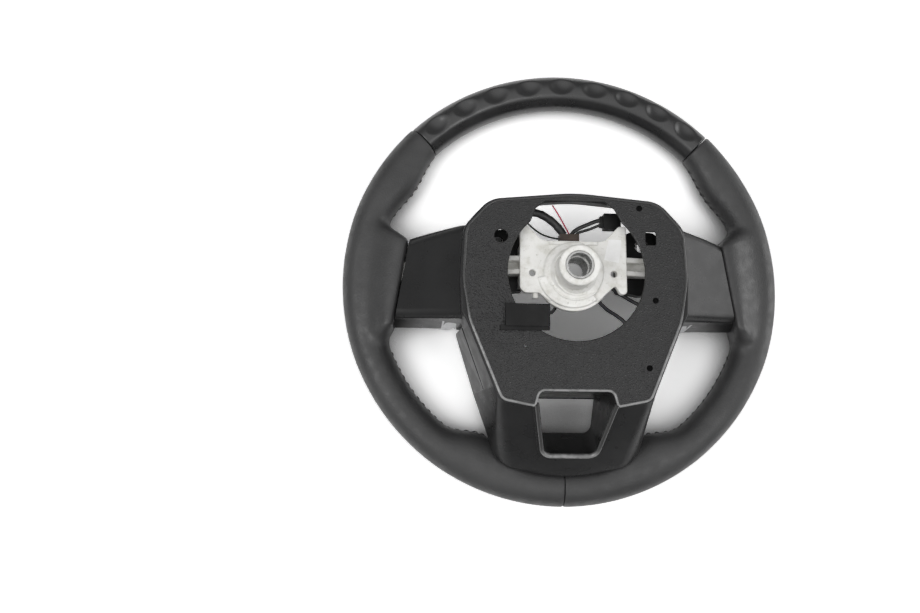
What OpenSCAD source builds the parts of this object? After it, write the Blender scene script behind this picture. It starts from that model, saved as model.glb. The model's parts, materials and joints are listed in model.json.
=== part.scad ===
/* [Rim] */
// Outer diameter of the rim
rim_d = 380; // [370:1:390]
// Height from the rim's centre plane up to the hub face
rim_drop = 98; // [96:0.5:100]
// Radial width of the leather grip
leather_w = 31.5; // [30:0.5:33]
// Height of the leather grip
leather_h = 32; // [30:0.5:33]
// Section diameter of the moulded upper grip
upper_w = 30; // [28:0.5:31]
// Angle from twelve o'clock to each end of the upper grip
upper_half_angle = 44; // [42:0.5:46]
// Number of finger scallops in the upper grip
scallop_count = 9; // [7:2:9]
// Angle from one finger scallop to the next
scallop_pitch = 9.6; // [9:0.1:10]
// Radius of the ball that forms a scallop
scallop_r = 24; // [20:1:28]
// Depth of a scallop
scallop_depth = 2.4; // [1.5:0.1:3]
// Diameter of the steel core ring
core_d = 10; // [8:0.5:11]
// Gap between the core ring and the grips
core_gap = 0.3; // [0.2:0.05:0.5]
// Gap between neighbouring grips at their joints
grip_joint_gap = 0.3; // [0.2:0.05:0.6]
// How far the leather reaches inwards beside the lower spoke
low_flare = 12; // [8:0.5:14]
// How far the leather swells inwards where the thumbs rest
thumb_swell = 6; // [3:0.5:7]

/* [Hub] */
// Diameter of the plain bore at the hub face
bore_d = 19; // [18:0.1:20]
// Depth of the plain bore
bore_depth = 14; // [10:0.5:18]
// Root diameter of the splines
spline_d = 18.2; // [17:0.1:18.4]
// Number of splines
spline_count = 36; // [30:1:40]
// Depth of the splines
spline_depth = 0.7; // [0.5:0.1:0.9]
// Outer diameter of the splined bush
bush_d = 23; // [22:0.5:25]
// Outer diameter of the boss
boss_d = 33; // [31:0.5:36]
// Height of the boss
boss_h = 40; // [38:0.5:44]
// Height from the plate's top up to the hub face
plate_drop = 32; // [30:0.5:34]
// Thickness of the plate
plate_t = 6; // [4:0.5:7]
// Half width of the plate
plate_half_w = 43.7; // [42:0.1:45]
// Height of the ears above the bore
ear_y = 38.4; // [36:0.2:40]
// Radius of the round lower half of the plate
plate_r = 32; // [30:0.5:34]
// Distance between the two drilled holes
puller_pitch = 67; // [64:0.5:70]
// Radius of the drilled holes
puller_hole_r = 2.75; // [2.5:0.05:3.5]
// Width of an arm
arm_w = 15; // [13:0.5:17]
// Wall of an arm's channel
arm_wall = 4; // [3:0.5:5]

/* [Cover] */
// Depth from the hub face down to the cover's top
cover_drop = 20; // [19:0.5:21]
// Thickness of the cover
cover_t = 2.5; // [2:0.1:3]
// Half width of the cover between the spokes
cover_half_w = 91.4; // [90:0.2:93]
// Half width of the cover's lower edge
cover_low_half_w = 60; // [58:0.5:62]
// Height of the cover's crown above the bore
cover_top_y = 61.3; // [60.5:0.1:63]
// Depth of the cover's lower edge below the bore
cover_low_y = 105.4; // [104:0.2:107]
// Radius of the column opening
opening_r = 55.5; // [54:0.25:56]
// Height of the opening's flat top edge above the bore
opening_top_y = 56; // [54:0.25:57]
// How far the shell stands out beyond the cover's edge
shell_margin = 1.5; // [1:0.1:2]
// Wall of the shell
shell_wall = 2.6; // [2:0.1:3]
// Depth of the groove between shell and lower trim, below the hub face
groove_drop = 57; // [54:0.5:60]
// Half width of the lower spoke's opening at its top
u_top_half_w = 29.5; // [27:0.5:31]
// Half width of the lower spoke's opening at its bottom
u_low_half_w = 24; // [21:0.5:26]
// Height of the lip round the lower spoke's opening
u_lip = 0.8; // [0.4:0.1:1.2]
// Radius of the screw heads in the cover
cover_screw_r = 2.2; // [1.8:0.1:2.6]

/* [Spokes] */
// Distance from the bore's axis to the spoke seam at mid height
seam_x = 138.8; // [137:0.2:140]
// Slant of the seam, sideways for each unit of height
seam_slant = 0.169; // [0.14:0.01:0.2]
// Upper end of the seam above the bore
seam_top_y = 33; // [31:0.5:35]
// Lower end of the seam below the bore
seam_low_y = 31; // [29:0.5:33]
// Depth from the hub face down to the spoke's back at the seam
seam_drop = 67; // [65:0.5:69]
// Depth from the hub face down to the spoke's front edge
spoke_front_drop = 88; // [86:0.5:89]
// Gap in the seams between shell, trim and leather
seam_gap = 0.6; // [0.4:0.1:0.8]

/* [Switches] */
// Depth of the silver bezel
bezel_h = 9.7; // [8:0.1:11]
// Width of the switch window
window_w = 30; // [29:0.5:31]
// Height of the switch window
window_h = 50; // [46:0.5:54]
// Clearance round each button
button_gap = 0.5; // [0.4:0.05:0.7]
// Travel of a push button
button_travel = 1; // [0.6:0.1:1.2]
// Side of a push button
button_w = 13; // [12:0.5:13.5]
// Width of the rocker
rocker_w = 10; // [9:0.5:10.5]
// Length of the rocker
rocker_l = 38; // [34:0.5:42]

/* [Inside] */
// Distance between the two catches of the centre module
catch_pitch = 120.6; // [118:0.2:122]
// Height of the catches above the bore
catch_y = 26.5; // [25:0.5:28]
// Bore of a catch
catch_bore_d = 11; // [10:0.5:12]
// Diameter of the catch springs' wire
spring_wire_d = 2.4; // [2:0.1:3]

/* [Hidden] */
$fn = 64;

rim_z = -rim_drop;
rim_r = rim_d / 2 - leather_w / 2;
grip_a = leather_w / 2;
grip_b = leather_h / 2;
tunnel_r = core_d / 2 + core_gap;
sleeve_r = core_d / 2 + 3;
plate_top = -plate_drop;
plate_low = plate_top - plate_t;
arm_low = plate_low - 12;
cover_top = -cover_drop;
cover_low = cover_top - cover_t;
spoke_front = -spoke_front_drop;
seam_z = -seam_drop;
groove_z = -groove_drop;
bezel_front = spoke_front - bezel_h;

// Helpers for rounded outlines. A corner is [x, y, radius, steps, depth where the wall ends].

function unit(v) = v / norm(v);
function mix(a, b, t) = a + (b - a) * t;
function clamp01(t) = min(1, max(0, t));
function smooth(a, b, x) = let (t = clamp01((x - a) / (b - a))) t * t * (3 - 2 * t);
function turn(a, b, c) = cross([b[0] - a[0], b[1] - a[1]], [c[0] - b[0], c[1] - b[1]]) < 0 ? -1 : 1;

// Points of one rounded corner: [x, y, outward normal x, outward normal y, wall end]
function corner(a, b, c) =
    let (p = [b[0], b[1]],
        u = unit([a[0], a[1]] - p),
        v = unit([c[0], c[1]] - p),
        half = acos(u * v) / 2,
        side = turn(a, b, c),
        centre = p + unit(u + v) * b[2] / sin(half),
        start = p + u * b[2] / tan(half) - centre,
        a0 = atan2(start[1], start[0]),
        sweep = (180 - 2 * half) * side)
    [for (i = [0:b[3]]) let (w = a0 + sweep * (b[3] == 0 ? 0.5 : i / b[3]))
        [centre[0] + b[2] * cos(w), centre[1] + b[2] * sin(w), side * cos(w), side * sin(w), b[4]]];

function outline(v) = [for (i = [0:len(v) - 1])
    each corner(v[(i + len(v) - 1) % len(v)], v[i], v[(i + 1) % len(v)])];

// The right half, listed from the bottom up, and its mirrored left half
function both_sides(low, half, high) = concat(low, half, high,
    [for (i = [len(half) - 1:-1:0]) [-half[i][0], half[i][1], half[i][2], half[i][3], half[i][4]]]);

function flat(pts, inset) = [for (p = pts) [p[0] - p[2] * inset, p[1] - p[3] * inset]];
function level(pts, inset, z) = [for (p = flat(pts, inset)) [p[0], p[1], z]];

// A solid skin over rings of points, all in triangles. Closed goes round like a tyre. Open gets
// two end faces, each a strip between the first and the second half of its ring.
function two_triangles(a, b, c, d) = [[a, b, c], [a, c, d]];
module skin(rings, closed = false) {
    n = len(rings[0]);
    m = len(rings);
    last = closed ? m - 1 : m - 2;
    sides = [for (k = [0:last], i = [0:n - 1])
        let (up = ((k + 1) % m) * n, i2 = (i + 1) % n)
        each two_triangles(k * n + i, up + i, up + i2, k * n + i2)];
    ends = [for (i = [0:n / 2 - 2]) each two_triangles(i, i + 1, n - 2 - i, n - 1 - i)];
    far = (m - 1) * n;
    far_ends = [for (t = ends) [far + t[2], far + t[1], far + t[0]]];
    polyhedron([for (r = rings, p = r) p], closed ? sides : concat(sides, ends, far_ends), convexity = 8);
}

module both_ways() {
    children();
    mirror([1, 0, 0]) children();
}

// The rim's sections

grip_sides = 24;

// How much the leather reaches in at an angle: beside the lower spoke, and into a side spoke
function low_reach(th) = smooth(-50, -62, th) * (1 - 0.8 * smooth(-70, -80, th));
function root_reach(th) = 1 - smooth(13.2, 19, th > 0 ? th : -th + 1.2);
function thumb_reach(th) = smooth(20, 32, th) * (1 - smooth(33, 46, th));
function grip_in(th) = rim_r - grip_a - low_flare * low_reach(th) - thumb_swell * thumb_reach(th);
function grip_mid(th) = (grip_in(th) + rim_r + grip_a) / 2;
function grip_half(th) = (rim_r + grip_a - grip_in(th)) / 2;

// Height of the leather's back at a place, or far below where there is none
function leather_top(x, y) =
    let (d = norm([x, y]),
        th = asin(y / d),
        t = (d - grip_mid(th)) / grip_half(th))
    abs(t) < 1 ? rim_z + grip_b * sqrt(1 - t * t) : -1000;

// Radius of the seam line at an angle
function seam_r(th) = seam_x / (cos(th) + seam_slant * sin(th));

root_low = rim_z + 5;
root_edge = 5;
root_toe = 2.6;

// Inner half of a spoke root: over the back, down the seam face, round a toe under the
// spoke's edge and along the front. The first number of a step counts towards the seam.
root_top_step = root_edge * 1.6;
function root_face(r0) = [[r0 + 1.2, seam_z - 1.4], [r0, seam_z - 5], [r0, spoke_front - seam_gap],
    [r0 - root_toe, spoke_front - seam_gap - 0.4], [r0 - root_toe, root_low]];
function root_back(r0, t) = [mix(rim_r, r0 + root_edge, t), mix(rim_z + grip_b, seam_z, smooth(0, 1, t))];
function root_belly(r0, t) = [mix(rim_r, r0 + root_top_step, t),
    mix(rim_z - grip_b, root_low - 1, smooth(0, 1, t))];
function root_line(r0) = concat([for (t = [0.25:0.25:1]) root_back(r0, t)], root_face(r0),
    [root_belly(r0, 0.9), root_belly(r0, 0.45)]);

function grip_point(th, j, k, root) =
    let (phi = j * 360 / grip_sides,
        oval = [grip_mid(th) + k * grip_half(th) * cos(phi), rim_z + k * grip_b * sin(phi)],
        inner = j > grip_sides / 4 && j < grip_sides * 3 / 4)
    inner ? mix(oval, root[j - grip_sides / 4 - 1], root_reach(th)) : oval;

function grip_ring(th, k) =
    let (root = root_line(seam_r(max(-13.5, min(14.5, th))) + seam_gap / 2))
    [for (j = [0:grip_sides - 1]) let (p = grip_point(th, j, k, root)) [p[0] * cos(th), p[0] * sin(th), p[1]]];

joint_step = grip_joint_gap / rim_r * 180 / PI;
top_end = 90 - upper_half_angle - joint_step / 2;
low_end = -90 + joint_step / 4;
grip_angles = concat([for (th = [42:-4:26]) th], [23, 21, 19.4, 18.2, 17.2, 16.2, 15.2, 14.2, 13.2],
    [for (th = [9:-4.5:-9]) th], [-12, -13, -14, -15, -16, -17.2, -18.6, -20.5],
    [for (th = [-24:-5:-49]) th], [for (th = [-52:-3:-82]) th], [-86]);

// Right-hand padded grip, with the tunnel for the core ring and the way in for the arm
module leather_grip() {
    difference() {
        skin(concat([grip_ring(top_end, 0.9), grip_ring(top_end - 0.5, 1)],
            [for (th = grip_angles) grip_ring(th, 1)],
            [grip_ring(low_end + 0.4, 1), grip_ring(low_end, 0.96)]));
        ring(tunnel_r, -95, 55);
        ring(sleeve_r + core_gap, arm_angle - sleeve_angle - 0.4, arm_angle + sleeve_angle + 0.4);
        arm_block(arm_w + 2 * core_gap, core_gap);
    }
}

// Part of a round ring at the rim's centre line, between two angles
module ring(r, from, to) {
    translate([0, 0, rim_z])
        rotate([0, 0, from])
            rotate_extrude(angle = to - from)
                translate([rim_r, 0])
                    circle(r = r);
}

// Arms of the casting

arm_y = 6;
arm_angle = asin(arm_y / rim_r);
sleeve_angle = 4;
arm_start = plate_half_w - 5.7;
pad_end = 78;
arm_depth = 10;

// Side view of an arm: down from the plate, along the spoke and into the rim
arm_side = [[arm_start, plate_top - 2], [84, plate_top - 12], [seam_x - 3, seam_z - 5],
    [rim_r - 4, rim_z + 7], [rim_r - 4, rim_z - 4], [seam_x - 3, seam_z - 5 - arm_depth],
    [pad_end, arm_low], [arm_start, arm_low]];

// The arm's outline as a solid block, grown all round by a gap
module arm_block(w, grow) {
    translate([0, arm_y + w / 2, 0])
        rotate([90, 0, 0])
            linear_extrude(w)
                polygon([for (i = [0:7]) arm_side[i] + [0, i < 4 ? grow : -grow]]);
}

module arm() {
    difference() {
        arm_block(arm_w, 0);
        // The channel between the arm's two walls
        translate([0, arm_y + arm_w / 2 - arm_wall, 0])
            rotate([90, 0, 0])
                linear_extrude(arm_w - 2 * arm_wall)
                    polygon([[plate_half_w, 0], [seam_x - 6, 0], [seam_x - 6, seam_z - 12],
                        [84, plate_top - 18], [plate_half_w, plate_top - 12]]);
        ring(core_d / 2 + 0.05, -20, 20);
    }
    difference() {
        ring(sleeve_r, arm_angle - sleeve_angle, arm_angle + sleeve_angle);
        ring(core_d / 2 + 0.05, -20, 20);
    }
}

// Outline of the plate, listed counterclockwise
plate_corners = [[-plate_half_w, -17.5, 6, 5, 0], [-28, -17.5, 3, 3, 0], [-20, -24, 4, 2, 0],
    [20, -24, 4, 2, 0], [plate_half_w - 9, -10.5, 1.5, 2, 0], [plate_half_w - 5, -17.8, 3, 4, 0],
    [plate_half_w + 0.4, -17.8, 3, 4, 0], [plate_half_w, ear_y, 1.5, 3, 0],
    [plate_half_w - 6, ear_y, 2, 3, 0], [26, 26.6, 5, 4, 0], [19, 25.4, 1, 1, 0],
    [-19, 25.4, 1, 1, 0], [-26, 26.6, 5, 4, 0], [-plate_half_w + 6, ear_y, 2, 3, 0],
    [-plate_half_w, ear_y, 1.5, 3, 0]];

module armature() {
    color([0.86, 0.86, 0.83]) {
        difference() {
            union() {
                translate([0, 0, plate_low]) linear_extrude(plate_t) polygon(flat(outline(plate_corners), 0));
                // Round lower half of the plate
                translate([0, 0, plate_low]) rotate([0, 0, 180]) rotate_extrude(angle = 180)
                    square([plate_r, plate_t - 1]);
                // Stepped boss
                rotate_extrude() polygon([[0, -boss_h], [boss_d / 2 + 4, -boss_h],
                    [boss_d / 2 + 8.7, plate_low], [boss_d / 2 + 8.7, plate_top], [boss_d / 2 + 7.6, plate_top + 2.5],
                    [boss_d / 2 + 3, plate_top + 4], [boss_d / 2, plate_top + 9],
                    [boss_d / 2, -1.2], [boss_d / 2 - 1.2, 0], [0, 0]]);
                // Crescent step at the lower left of the boss
                rotate([0, 0, 190]) rotate_extrude(angle = 120)
                    polygon([[boss_d / 2 + 6, plate_low], [plate_r - 2, plate_low],
                        [plate_r - 2.6, plate_top + 1.4], [boss_d / 2 + 11, plate_top + 1.6],
                        [boss_d / 2 + 6, plate_top + 3.4]]);
                // Raised upper edge between the ears
                translate([-20, 22.4, plate_low]) cube([40, 3, plate_t + 1.4]);
                // Side walls that stiffen the plate
                for (s = [-1, 1]) translate([s * (plate_half_w - 2) - 2, -12, arm_low]) cube([4, 34, 14]);
                // Peg below the left hole
                translate([-30.8, -16, plate_low + 2.4]) rotate([90, 0, 0]) cylinder(r = 2.4, h = 6);
            }
            translate([0, 0, -boss_h - 1]) cylinder(d = bush_d + 0.1, h = boss_h + 2);
            for (s = [-1, 1]) translate([s * puller_pitch / 2, -1.2, plate_low - 1])
                cylinder(r = puller_hole_r, h = plate_t + 3);
        }
        both_ways() arm();
    }
}

module hub_bush() {
    color([0.62, 0.62, 0.62]) difference() {
        rotate_extrude() polygon([[0, -boss_h], [bush_d / 2, -boss_h], [bush_d / 2, -0.6],
            [bush_d / 2 - 0.6, 0], [0, 0]]);
        translate([0, 0, -bore_depth]) cylinder(d = bore_d, h = bore_depth + 1);
        translate([0, 0, -boss_h - 1]) linear_extrude(boss_h) polygon(
            [for (i = [0:spline_count - 1], k = [0:1])
                let (r = spline_d / 2 - k * spline_depth, a = (i + k / 2) * 360 / spline_count)
                [r * cos(a), r * sin(a)]]);
    }
}

module rim_core() {
    color([0.4, 0.4, 0.42]) ring(core_d / 2, 0, 360);
}

// Section of the upper grip: round, with a shallow valley on the inner back
upper_section = [for (j = [0:31]) let (phi = j * 360 / 32,
    dent = 1.3 * (smooth(84, 104, phi) - smooth(104, 128, phi)),
    r = upper_w / 2 - dent) [rim_r + r * cos(phi), r * sin(phi)]];

scallop_tilt = 54;

module upper_grip() {
    color([0.2, 0.2, 0.21]) difference() {
        translate([0, 0, rim_z]) rotate([0, 0, 90 - upper_half_angle + joint_step / 2])
            rotate_extrude(angle = 2 * upper_half_angle - joint_step) polygon(upper_section);
        ring(tunnel_r, 20, 160);
        for (i = [0:scallop_count - 1])
            rotate([0, 0, 90 + (i - (scallop_count - 1) / 2) * scallop_pitch])
                translate([rim_r, 0, rim_z]) rotate([0, -scallop_tilt, 0])
                    translate([upper_w / 2 + scallop_r - scallop_depth, 0, 0]) sphere(r = scallop_r);
    }
}

module right_leather_grip() {
    color([0.17, 0.17, 0.18]) leather_grip();
}

module left_leather_grip() {
    color([0.17, 0.17, 0.18]) mirror([1, 0, 0]) leather_grip();
}

// Cover and shell. The cover's corners from its low corner up to the shoulder:

waist_y = -42;
shoulder_y = 33;
cover_half = [[cover_low_half_w, -cover_low_y, 9, 5, 0], [cover_half_w - 5.4, waist_y, 45, 5, 0],
    [cover_half_w, -8, 70, 2, 0], [cover_half_w - 2.2, shoulder_y, 18, 5, 0],
    [cover_half_w - 24, cover_top_y - 4, 14, 5, 0]];
cover_crown = [[0, cover_top_y, 150, 4, 0]];
notch_y = -98.3;
notch_half = [[u_top_half_w - 0.5, notch_y, 5, 4, 0],
    [u_top_half_w + 3, -cover_low_y - 5.5, 2.5, 3, 0]];
cover_outline = outline(both_sides([], concat(notch_half, cover_half), cover_crown));

// The column opening: round, with a flat top
opening_top_half_w = 24;
opening_bevel = [8, 6];
opening_centre = [0.8, -2.3];

module opening_cut() {
    translate([0, 0, cover_low - 10]) linear_extrude(20) {
        translate(opening_centre) circle(r = opening_r, $fn = 96);
        polygon([[-opening_r * 0.78, opening_top_y - 22], [opening_r * 0.78, opening_top_y - 22],
            [opening_top_half_w + opening_bevel[0], opening_top_y - opening_bevel[1]],
            [opening_top_half_w, opening_top_y], [-opening_top_half_w, opening_top_y],
            [-opening_top_half_w - opening_bevel[0], opening_top_y - opening_bevel[1]]]);
    }
}

// Places of the three screws, and where the rib of each one's boss ends at the shell's wall
function side_x(y) = mix(cover_low_half_w, cover_half_w - 5.4, (y + cover_low_y) / (waist_y + cover_low_y));
low_screw_y = 26.4 - cover_low_y;
cover_screw_places = [[cover_half_w - 39, cover_top_y - 10.1, cover_half_w - 31],
    [mix(opening_r, cover_half_w, 0.25), -24.5, cover_half_w - 1.9],
    [side_x(low_screw_y) - 12.2, low_screw_y, side_x(low_screw_y) - 1.7]];
cover_boss_r = 4;
rib_t = 2.5;
rib_foot = 3;
cover_boss_h = 9;

module rear_cover() {
    color([0.26, 0.26, 0.27]) difference() {
        translate([0, 0, cover_low]) linear_extrude(cover_t) polygon(flat(cover_outline, 0));
        opening_cut();
        translate([-catch_pitch / 2, catch_y, cover_low - 1]) cylinder(r = 5.7, h = 5);
        translate([catch_pitch / 2 + 1.2, catch_y, cover_low - 1])
            linear_extrude(5) square([9, 11.5], center = true);
        for (p = cover_screw_places) translate([p[0], p[1], cover_low - 1])
            cylinder(r = cover_screw_r + 0.3, h = 5);
        translate([-41.2, -62.5, cover_low - 1]) cylinder(r = 1, h = 5);
    }
}

// The shell's wall runs from the cover's edge down to a wider outline near the rim.
// Both outlines have the same corners, and each corner says how deep its wall goes.

top_wall_end = -48;
spoke_wall_end = -43;
side_wall_end = groove_z + seam_gap / 2;
trim_top = rim_z + 5.5;
trim_t = 3;
deep_wall_end = trim_top + seam_gap / 2;
shell_top = cover_low - shell_margin;
shell_ref = rim_z + 14;
groove_end_y = 10.4 - cover_low_y;
shell_low_y = 9.05 - rim_r;

function along(a, b, y, r, n, z) = [mix(a[0], b[0], (y - a[1]) / (b[1] - a[1])), y, r, n, z];

t_low = [cover_low_half_w, -cover_low_y, 9, 6, 0];
t_waist = [cover_half_w - 5.4, waist_y, 45, 5, side_wall_end];
b_low = [54.5, shell_low_y + 11.2, 22, 6, 0];
b_waist = [cover_half_w - 0.6, waist_y + 1, 45, 5, side_wall_end];

function shell_half(low, waist, grow, groove_y) = [low,
    along(low, waist, groove_y - 1.2, 0.5, 0, deep_wall_end),
    along(low, waist, groove_y, 0.5, 0, side_wall_end),
    waist, [cover_half_w + grow * 0.4 - 1, -35, 4, 0, spoke_wall_end],
    [cover_half_w + grow, -8, 70, 2, spoke_wall_end],
    [cover_half_w - 2.2 + grow, shoulder_y, 18, 5, spoke_wall_end],
    [cover_half_w - 11 + grow, shoulder_y + 10.4, 0.5, 0, top_wall_end],
    [cover_half_w - 24 + grow / 2, cover_top_y - 4 + grow, 14, 5, top_wall_end]];

shell_upper = outline(both_sides([[0, -cover_low_y - 7, 120, 4, 0]],
    shell_half(t_low, t_waist, 0, groove_end_y + 2), [[0, cover_top_y, 150, 4, top_wall_end]]));
shell_lower = outline(both_sides([[0, shell_low_y, 120, 4, 0]],
    shell_half(b_low, b_waist, 1.5, groove_end_y), [[0, cover_top_y + 1.5, 150, 4, top_wall_end]]));

function shell_normal(i, s) = unit(mix([shell_upper[i][2], shell_upper[i][3]],
    [shell_lower[i][2], shell_lower[i][3]], clamp01(s)));
function shell_share(z) = (z - shell_top) / (shell_ref - shell_top);
function shell_point(i, z, inset) =
    let (s = shell_share(z),
        n = shell_normal(i, s),
        p = mix([shell_upper[i][0], shell_upper[i][1]], [shell_lower[i][0], shell_lower[i][1]], s),
        q = p + n * (shell_margin - inset))
    [q[0], q[1], z];

// Where the wall of a point ends: its own depth, but clear above the leather
function clear_z(i, z) = let (p = shell_point(i, z, -1.5)) max(z, leather_top(p[0], p[1]) + seam_gap);
function wall_end(i) =
    let (own = shell_upper[i][4] == 0 ? deep_wall_end : shell_upper[i][4],
        z1 = clear_z(i, own),
        z2 = clear_z(i, mix(own, z1, 0.5)),
        z3 = clear_z(i, mix(z1, z2, 0.5)))
    own > -60 ? own : max(z1, z2, z3);

wall_steps = [1, 0.75, 0.5, 0.25];
point_count = len(shell_upper);

function wall_ring(share, inset) = [for (i = [0:point_count - 1])
    shell_point(i, mix(shell_top, wall_end(i), share), inset)];
function top_ring(inset, z) = [for (i = [0:point_count - 1])
    let (p = shell_point(i, shell_top, inset)) [p[0], p[1], z]];

ledge_w = 7;

module shell_body() {
    skin(concat([for (s = wall_steps) wall_ring(s, 0)],
        [top_ring(0, shell_top), top_ring(0.5, cover_low - 0.4), top_ring(shell_margin, cover_low),
        top_ring(ledge_w, cover_low), top_ring(ledge_w, cover_low - 2.5),
        top_ring(shell_wall + 0.8, cover_low - 3)],
        [for (k = [3:-1:0]) wall_ring(wall_steps[k], shell_wall)]), closed = true);
}

// Back of a spoke: an arch that runs from the cover's edge down to the seam.
// A station is [x, low y, high y, height of the back, slant].

spoke_start = cover_half_w + 1;
spoke_end = seam_x - seam_gap / 2;
spoke_rise = -35.5;
function spoke_x(t) = mix(spoke_start, spoke_end, t);
spoke_stations = [[cover_half_w - 13, -43.6, 39.8, -29.5, 0], [spoke_start, -43, 39, spoke_rise, 0],
    [spoke_x(0.25), -41, 37.6, mix(spoke_rise, seam_z, 0.27), 0],
    [spoke_x(0.555), -38, 36, mix(spoke_rise, seam_z, 0.57), 0.04],
    [spoke_x(0.815), -35, 34.6, mix(spoke_rise, seam_z, 0.83), 0.1],
    [spoke_end, -seam_low_y - 1.5, seam_top_y + 0.5, seam_z, seam_slant]];
spoke_edge_r = 8;

// One arc of the arch's upper edge, seen along the spoke
function arch_arc(y, z, r, from, to) = [for (i = [0:5]) let (a = mix(from, to, i / 5))
    [y + r * cos(a), z + r * sin(a)]];
function arch(low, high, top, inset) = concat([[high - inset, spoke_front]],
    arch_arc(high - spoke_edge_r, top - spoke_edge_r, spoke_edge_r - inset, 0, 90),
    arch_arc(low + spoke_edge_r, top - spoke_edge_r, spoke_edge_r - inset, 90, 180),
    [[low + inset, spoke_front]]);
function arch_loop(st) =
    let (outer = arch(st[1], st[2], st[3], 0),
        inner = arch(st[1], st[2], st[3], shell_wall))
    concat(outer, [for (i = [len(inner) - 1:-1:0]) inner[i]]);
function station_ring(st) = [for (p = arch_loop(st)) [st[0] - st[4] * p[0], p[0], p[1]]];

module spoke_back() {
    skin([for (st = spoke_stations) station_ring(st)]);
}

// The lower spoke's opening: its bottom wall leans forwards, its upper wall is upright

u_lean = 32;
u_foot = 11.4;
u_len = (notch_y - shell_low_y - u_foot) / cos(u_lean);
u_spread = (u_top_half_w - u_low_half_w) / u_len;
u_head = 90;

module u_prism(grow) {
    intersection() {
        translate([0, notch_y, cover_top]) rotate([u_lean, 0, 0]) translate([0, -u_len, -70])
            linear_extrude(140) polygon(flat(outline([
                [-u_low_half_w, 0, 8, 5, 0], [u_low_half_w, 0, 8, 5, 0],
                [u_top_half_w + u_spread * u_head, u_head, 5, 1, 0],
                [-u_top_half_w - u_spread * u_head, u_head, 5, 1, 0]]), -grow));
        translate([-60, notch_y - 100, -150]) cube([120, 100 + grow, 200]);
    }
}

// Side view of the space under the lower spoke's back
module under_slope(lift, floor_z) {
    rotate([90, 0, 90]) linear_extrude(100, center = true)
        polygon([[notch_y + 6, floor_z], [notch_y + 6, cover_low - 0.5], [-cover_low_y - 6, cover_low - 0.5],
            [-cover_low_y - 6, shell_top + lift + 0.2], [shell_low_y - 1, shell_ref + lift],
            [shell_low_y - 1, floor_z]]);
}

module rear_shell() {
    color([0.16, 0.16, 0.17]) difference() {
        union() {
            shell_body();
            both_ways() spoke_back();
            for (p = cover_screw_places) translate([p[0], p[1], cover_low - cover_boss_h]) {
                cylinder(r = cover_boss_r, h = cover_boss_h);
                translate([0, -rib_t / 2, rib_foot]) cube([p[2] - p[0], rib_t, cover_boss_h - rib_foot]);
            }
            intersection() {
                u_prism(shell_wall);
                under_slope(u_lip, trim_top + 0.3);
            }
        }
        u_prism(0);
        for (p = cover_screw_places) translate([p[0], p[1], cover_low - cover_boss_h - 1])
            cylinder(r = 1.2, h = cover_boss_h + 2);
    }
}

module cover_screws() {
    color([0.08, 0.08, 0.08]) for (p = cover_screw_places) translate([p[0], p[1], 0]) difference() {
        union() {
            translate([0, 0, cover_low]) cylinder(r = cover_screw_r, h = 1.2);
            translate([0, 0, cover_low - 5]) cylinder(r = 1.1, h = 6);
        }
        translate([0, 0, cover_low + 0.5]) cylinder(r = 1, h = 2, $fn = 6);
    }
}

// Front trim of the lower spoke: two side walls below the groove, and a U-shaped front

low_steps = t_low[3] + 1;
low_centre_steps = 5;
band_first = low_centre_steps + low_steps + 1;
band_last = band_first + t_waist[3] + 1;

function band_section(i) = let (z1 = groove_z - seam_gap / 2, z0 = trim_top - trim_t,
    a = shell_point(i, z1, 0), b = shell_point(i, z0, 0),
    c = shell_point(i, z0, shell_wall), d = shell_point(i, z1, shell_wall))
    [a, b, c, d];

// The front plate follows the shell, but stays clear of the leather
trim_reach = rim_r - grip_a - low_flare - 2;
function trim_edge(i) =
    let (p = shell_point(i, trim_top, 1.2),
        q = [p[0], p[1]])
    q * min(1, trim_reach / norm(q));
trim_bar = 8;
trim_right = [for (i = [low_centre_steps:band_first - 1]) trim_edge(i)];
trim_head = trim_right[len(trim_right) - 1] + [1.5, trim_bar];
trim_half = concat(trim_right, [trim_head]);
trim_outline = concat([for (i = [0:low_centre_steps - 1]) trim_edge(i)], trim_half,
    [for (i = [len(trim_half) - 1:-1:0]) [-trim_half[i][0], trim_half[i][1]]]);

// The side wall stops short of the side spoke
band_cut = 20;

module trim_band() {
    difference() {
        skin([for (i = [band_first:band_last]) band_section(i)]);
        translate([cover_half_w - band_cut, spoke_stations[0][1] - seam_gap, trim_top - band_cut])
            cube(band_cut * [2, 1, 3]);
    }
}

module lower_spoke_trim() {
    color([0.1, 0.1, 0.1]) {
        both_ways() trim_band();
        difference() {
            translate([0, 0, trim_top - trim_t]) linear_extrude(trim_t) polygon(trim_outline);
            u_prism(-0.6);
        }
    }
}

// Switch pods on the front of the spokes

window_x = (cover_half_w + seam_x) / 2 - 3.1;
window_y = -4;
bezel_low_y = -36.5;
bezel_high_y = 32.5;
bezel_margin = 4.5;
bezel_corners = [[cover_half_w + 2, bezel_low_y - 5, 5, 3, 0],
    [seam_x - seam_slant * bezel_low_y - bezel_margin, bezel_low_y, 5, 3, 0],
    [seam_x - seam_slant * bezel_high_y - bezel_margin, bezel_high_y, 5, 3, 0],
    [cover_half_w + 2, bezel_high_y + 5, 5, 3, 0]];
rocker_x = window_x - window_w / 2 + 2 + rocker_w / 2;
button_x = window_x + window_w / 2 - 2 - button_w / 2;
button_step = 10;
button_face = bezel_front + 1;
carrier_top = spoke_front + 3;
carrier_low = button_face + 4;
button_back = spoke_front - 0.6;

module switch_bezel() {
    translate([0, 0, bezel_front]) difference() {
        linear_extrude(bezel_h - 0.3) polygon(flat(outline(bezel_corners), 0));
        translate([window_x, window_y, -1]) linear_extrude(3.4)
            square([window_w, window_h], center = true);
        translate([0, 0, 2]) linear_extrude(bezel_h) polygon(flat(outline(bezel_corners), 2));
    }
}

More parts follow.
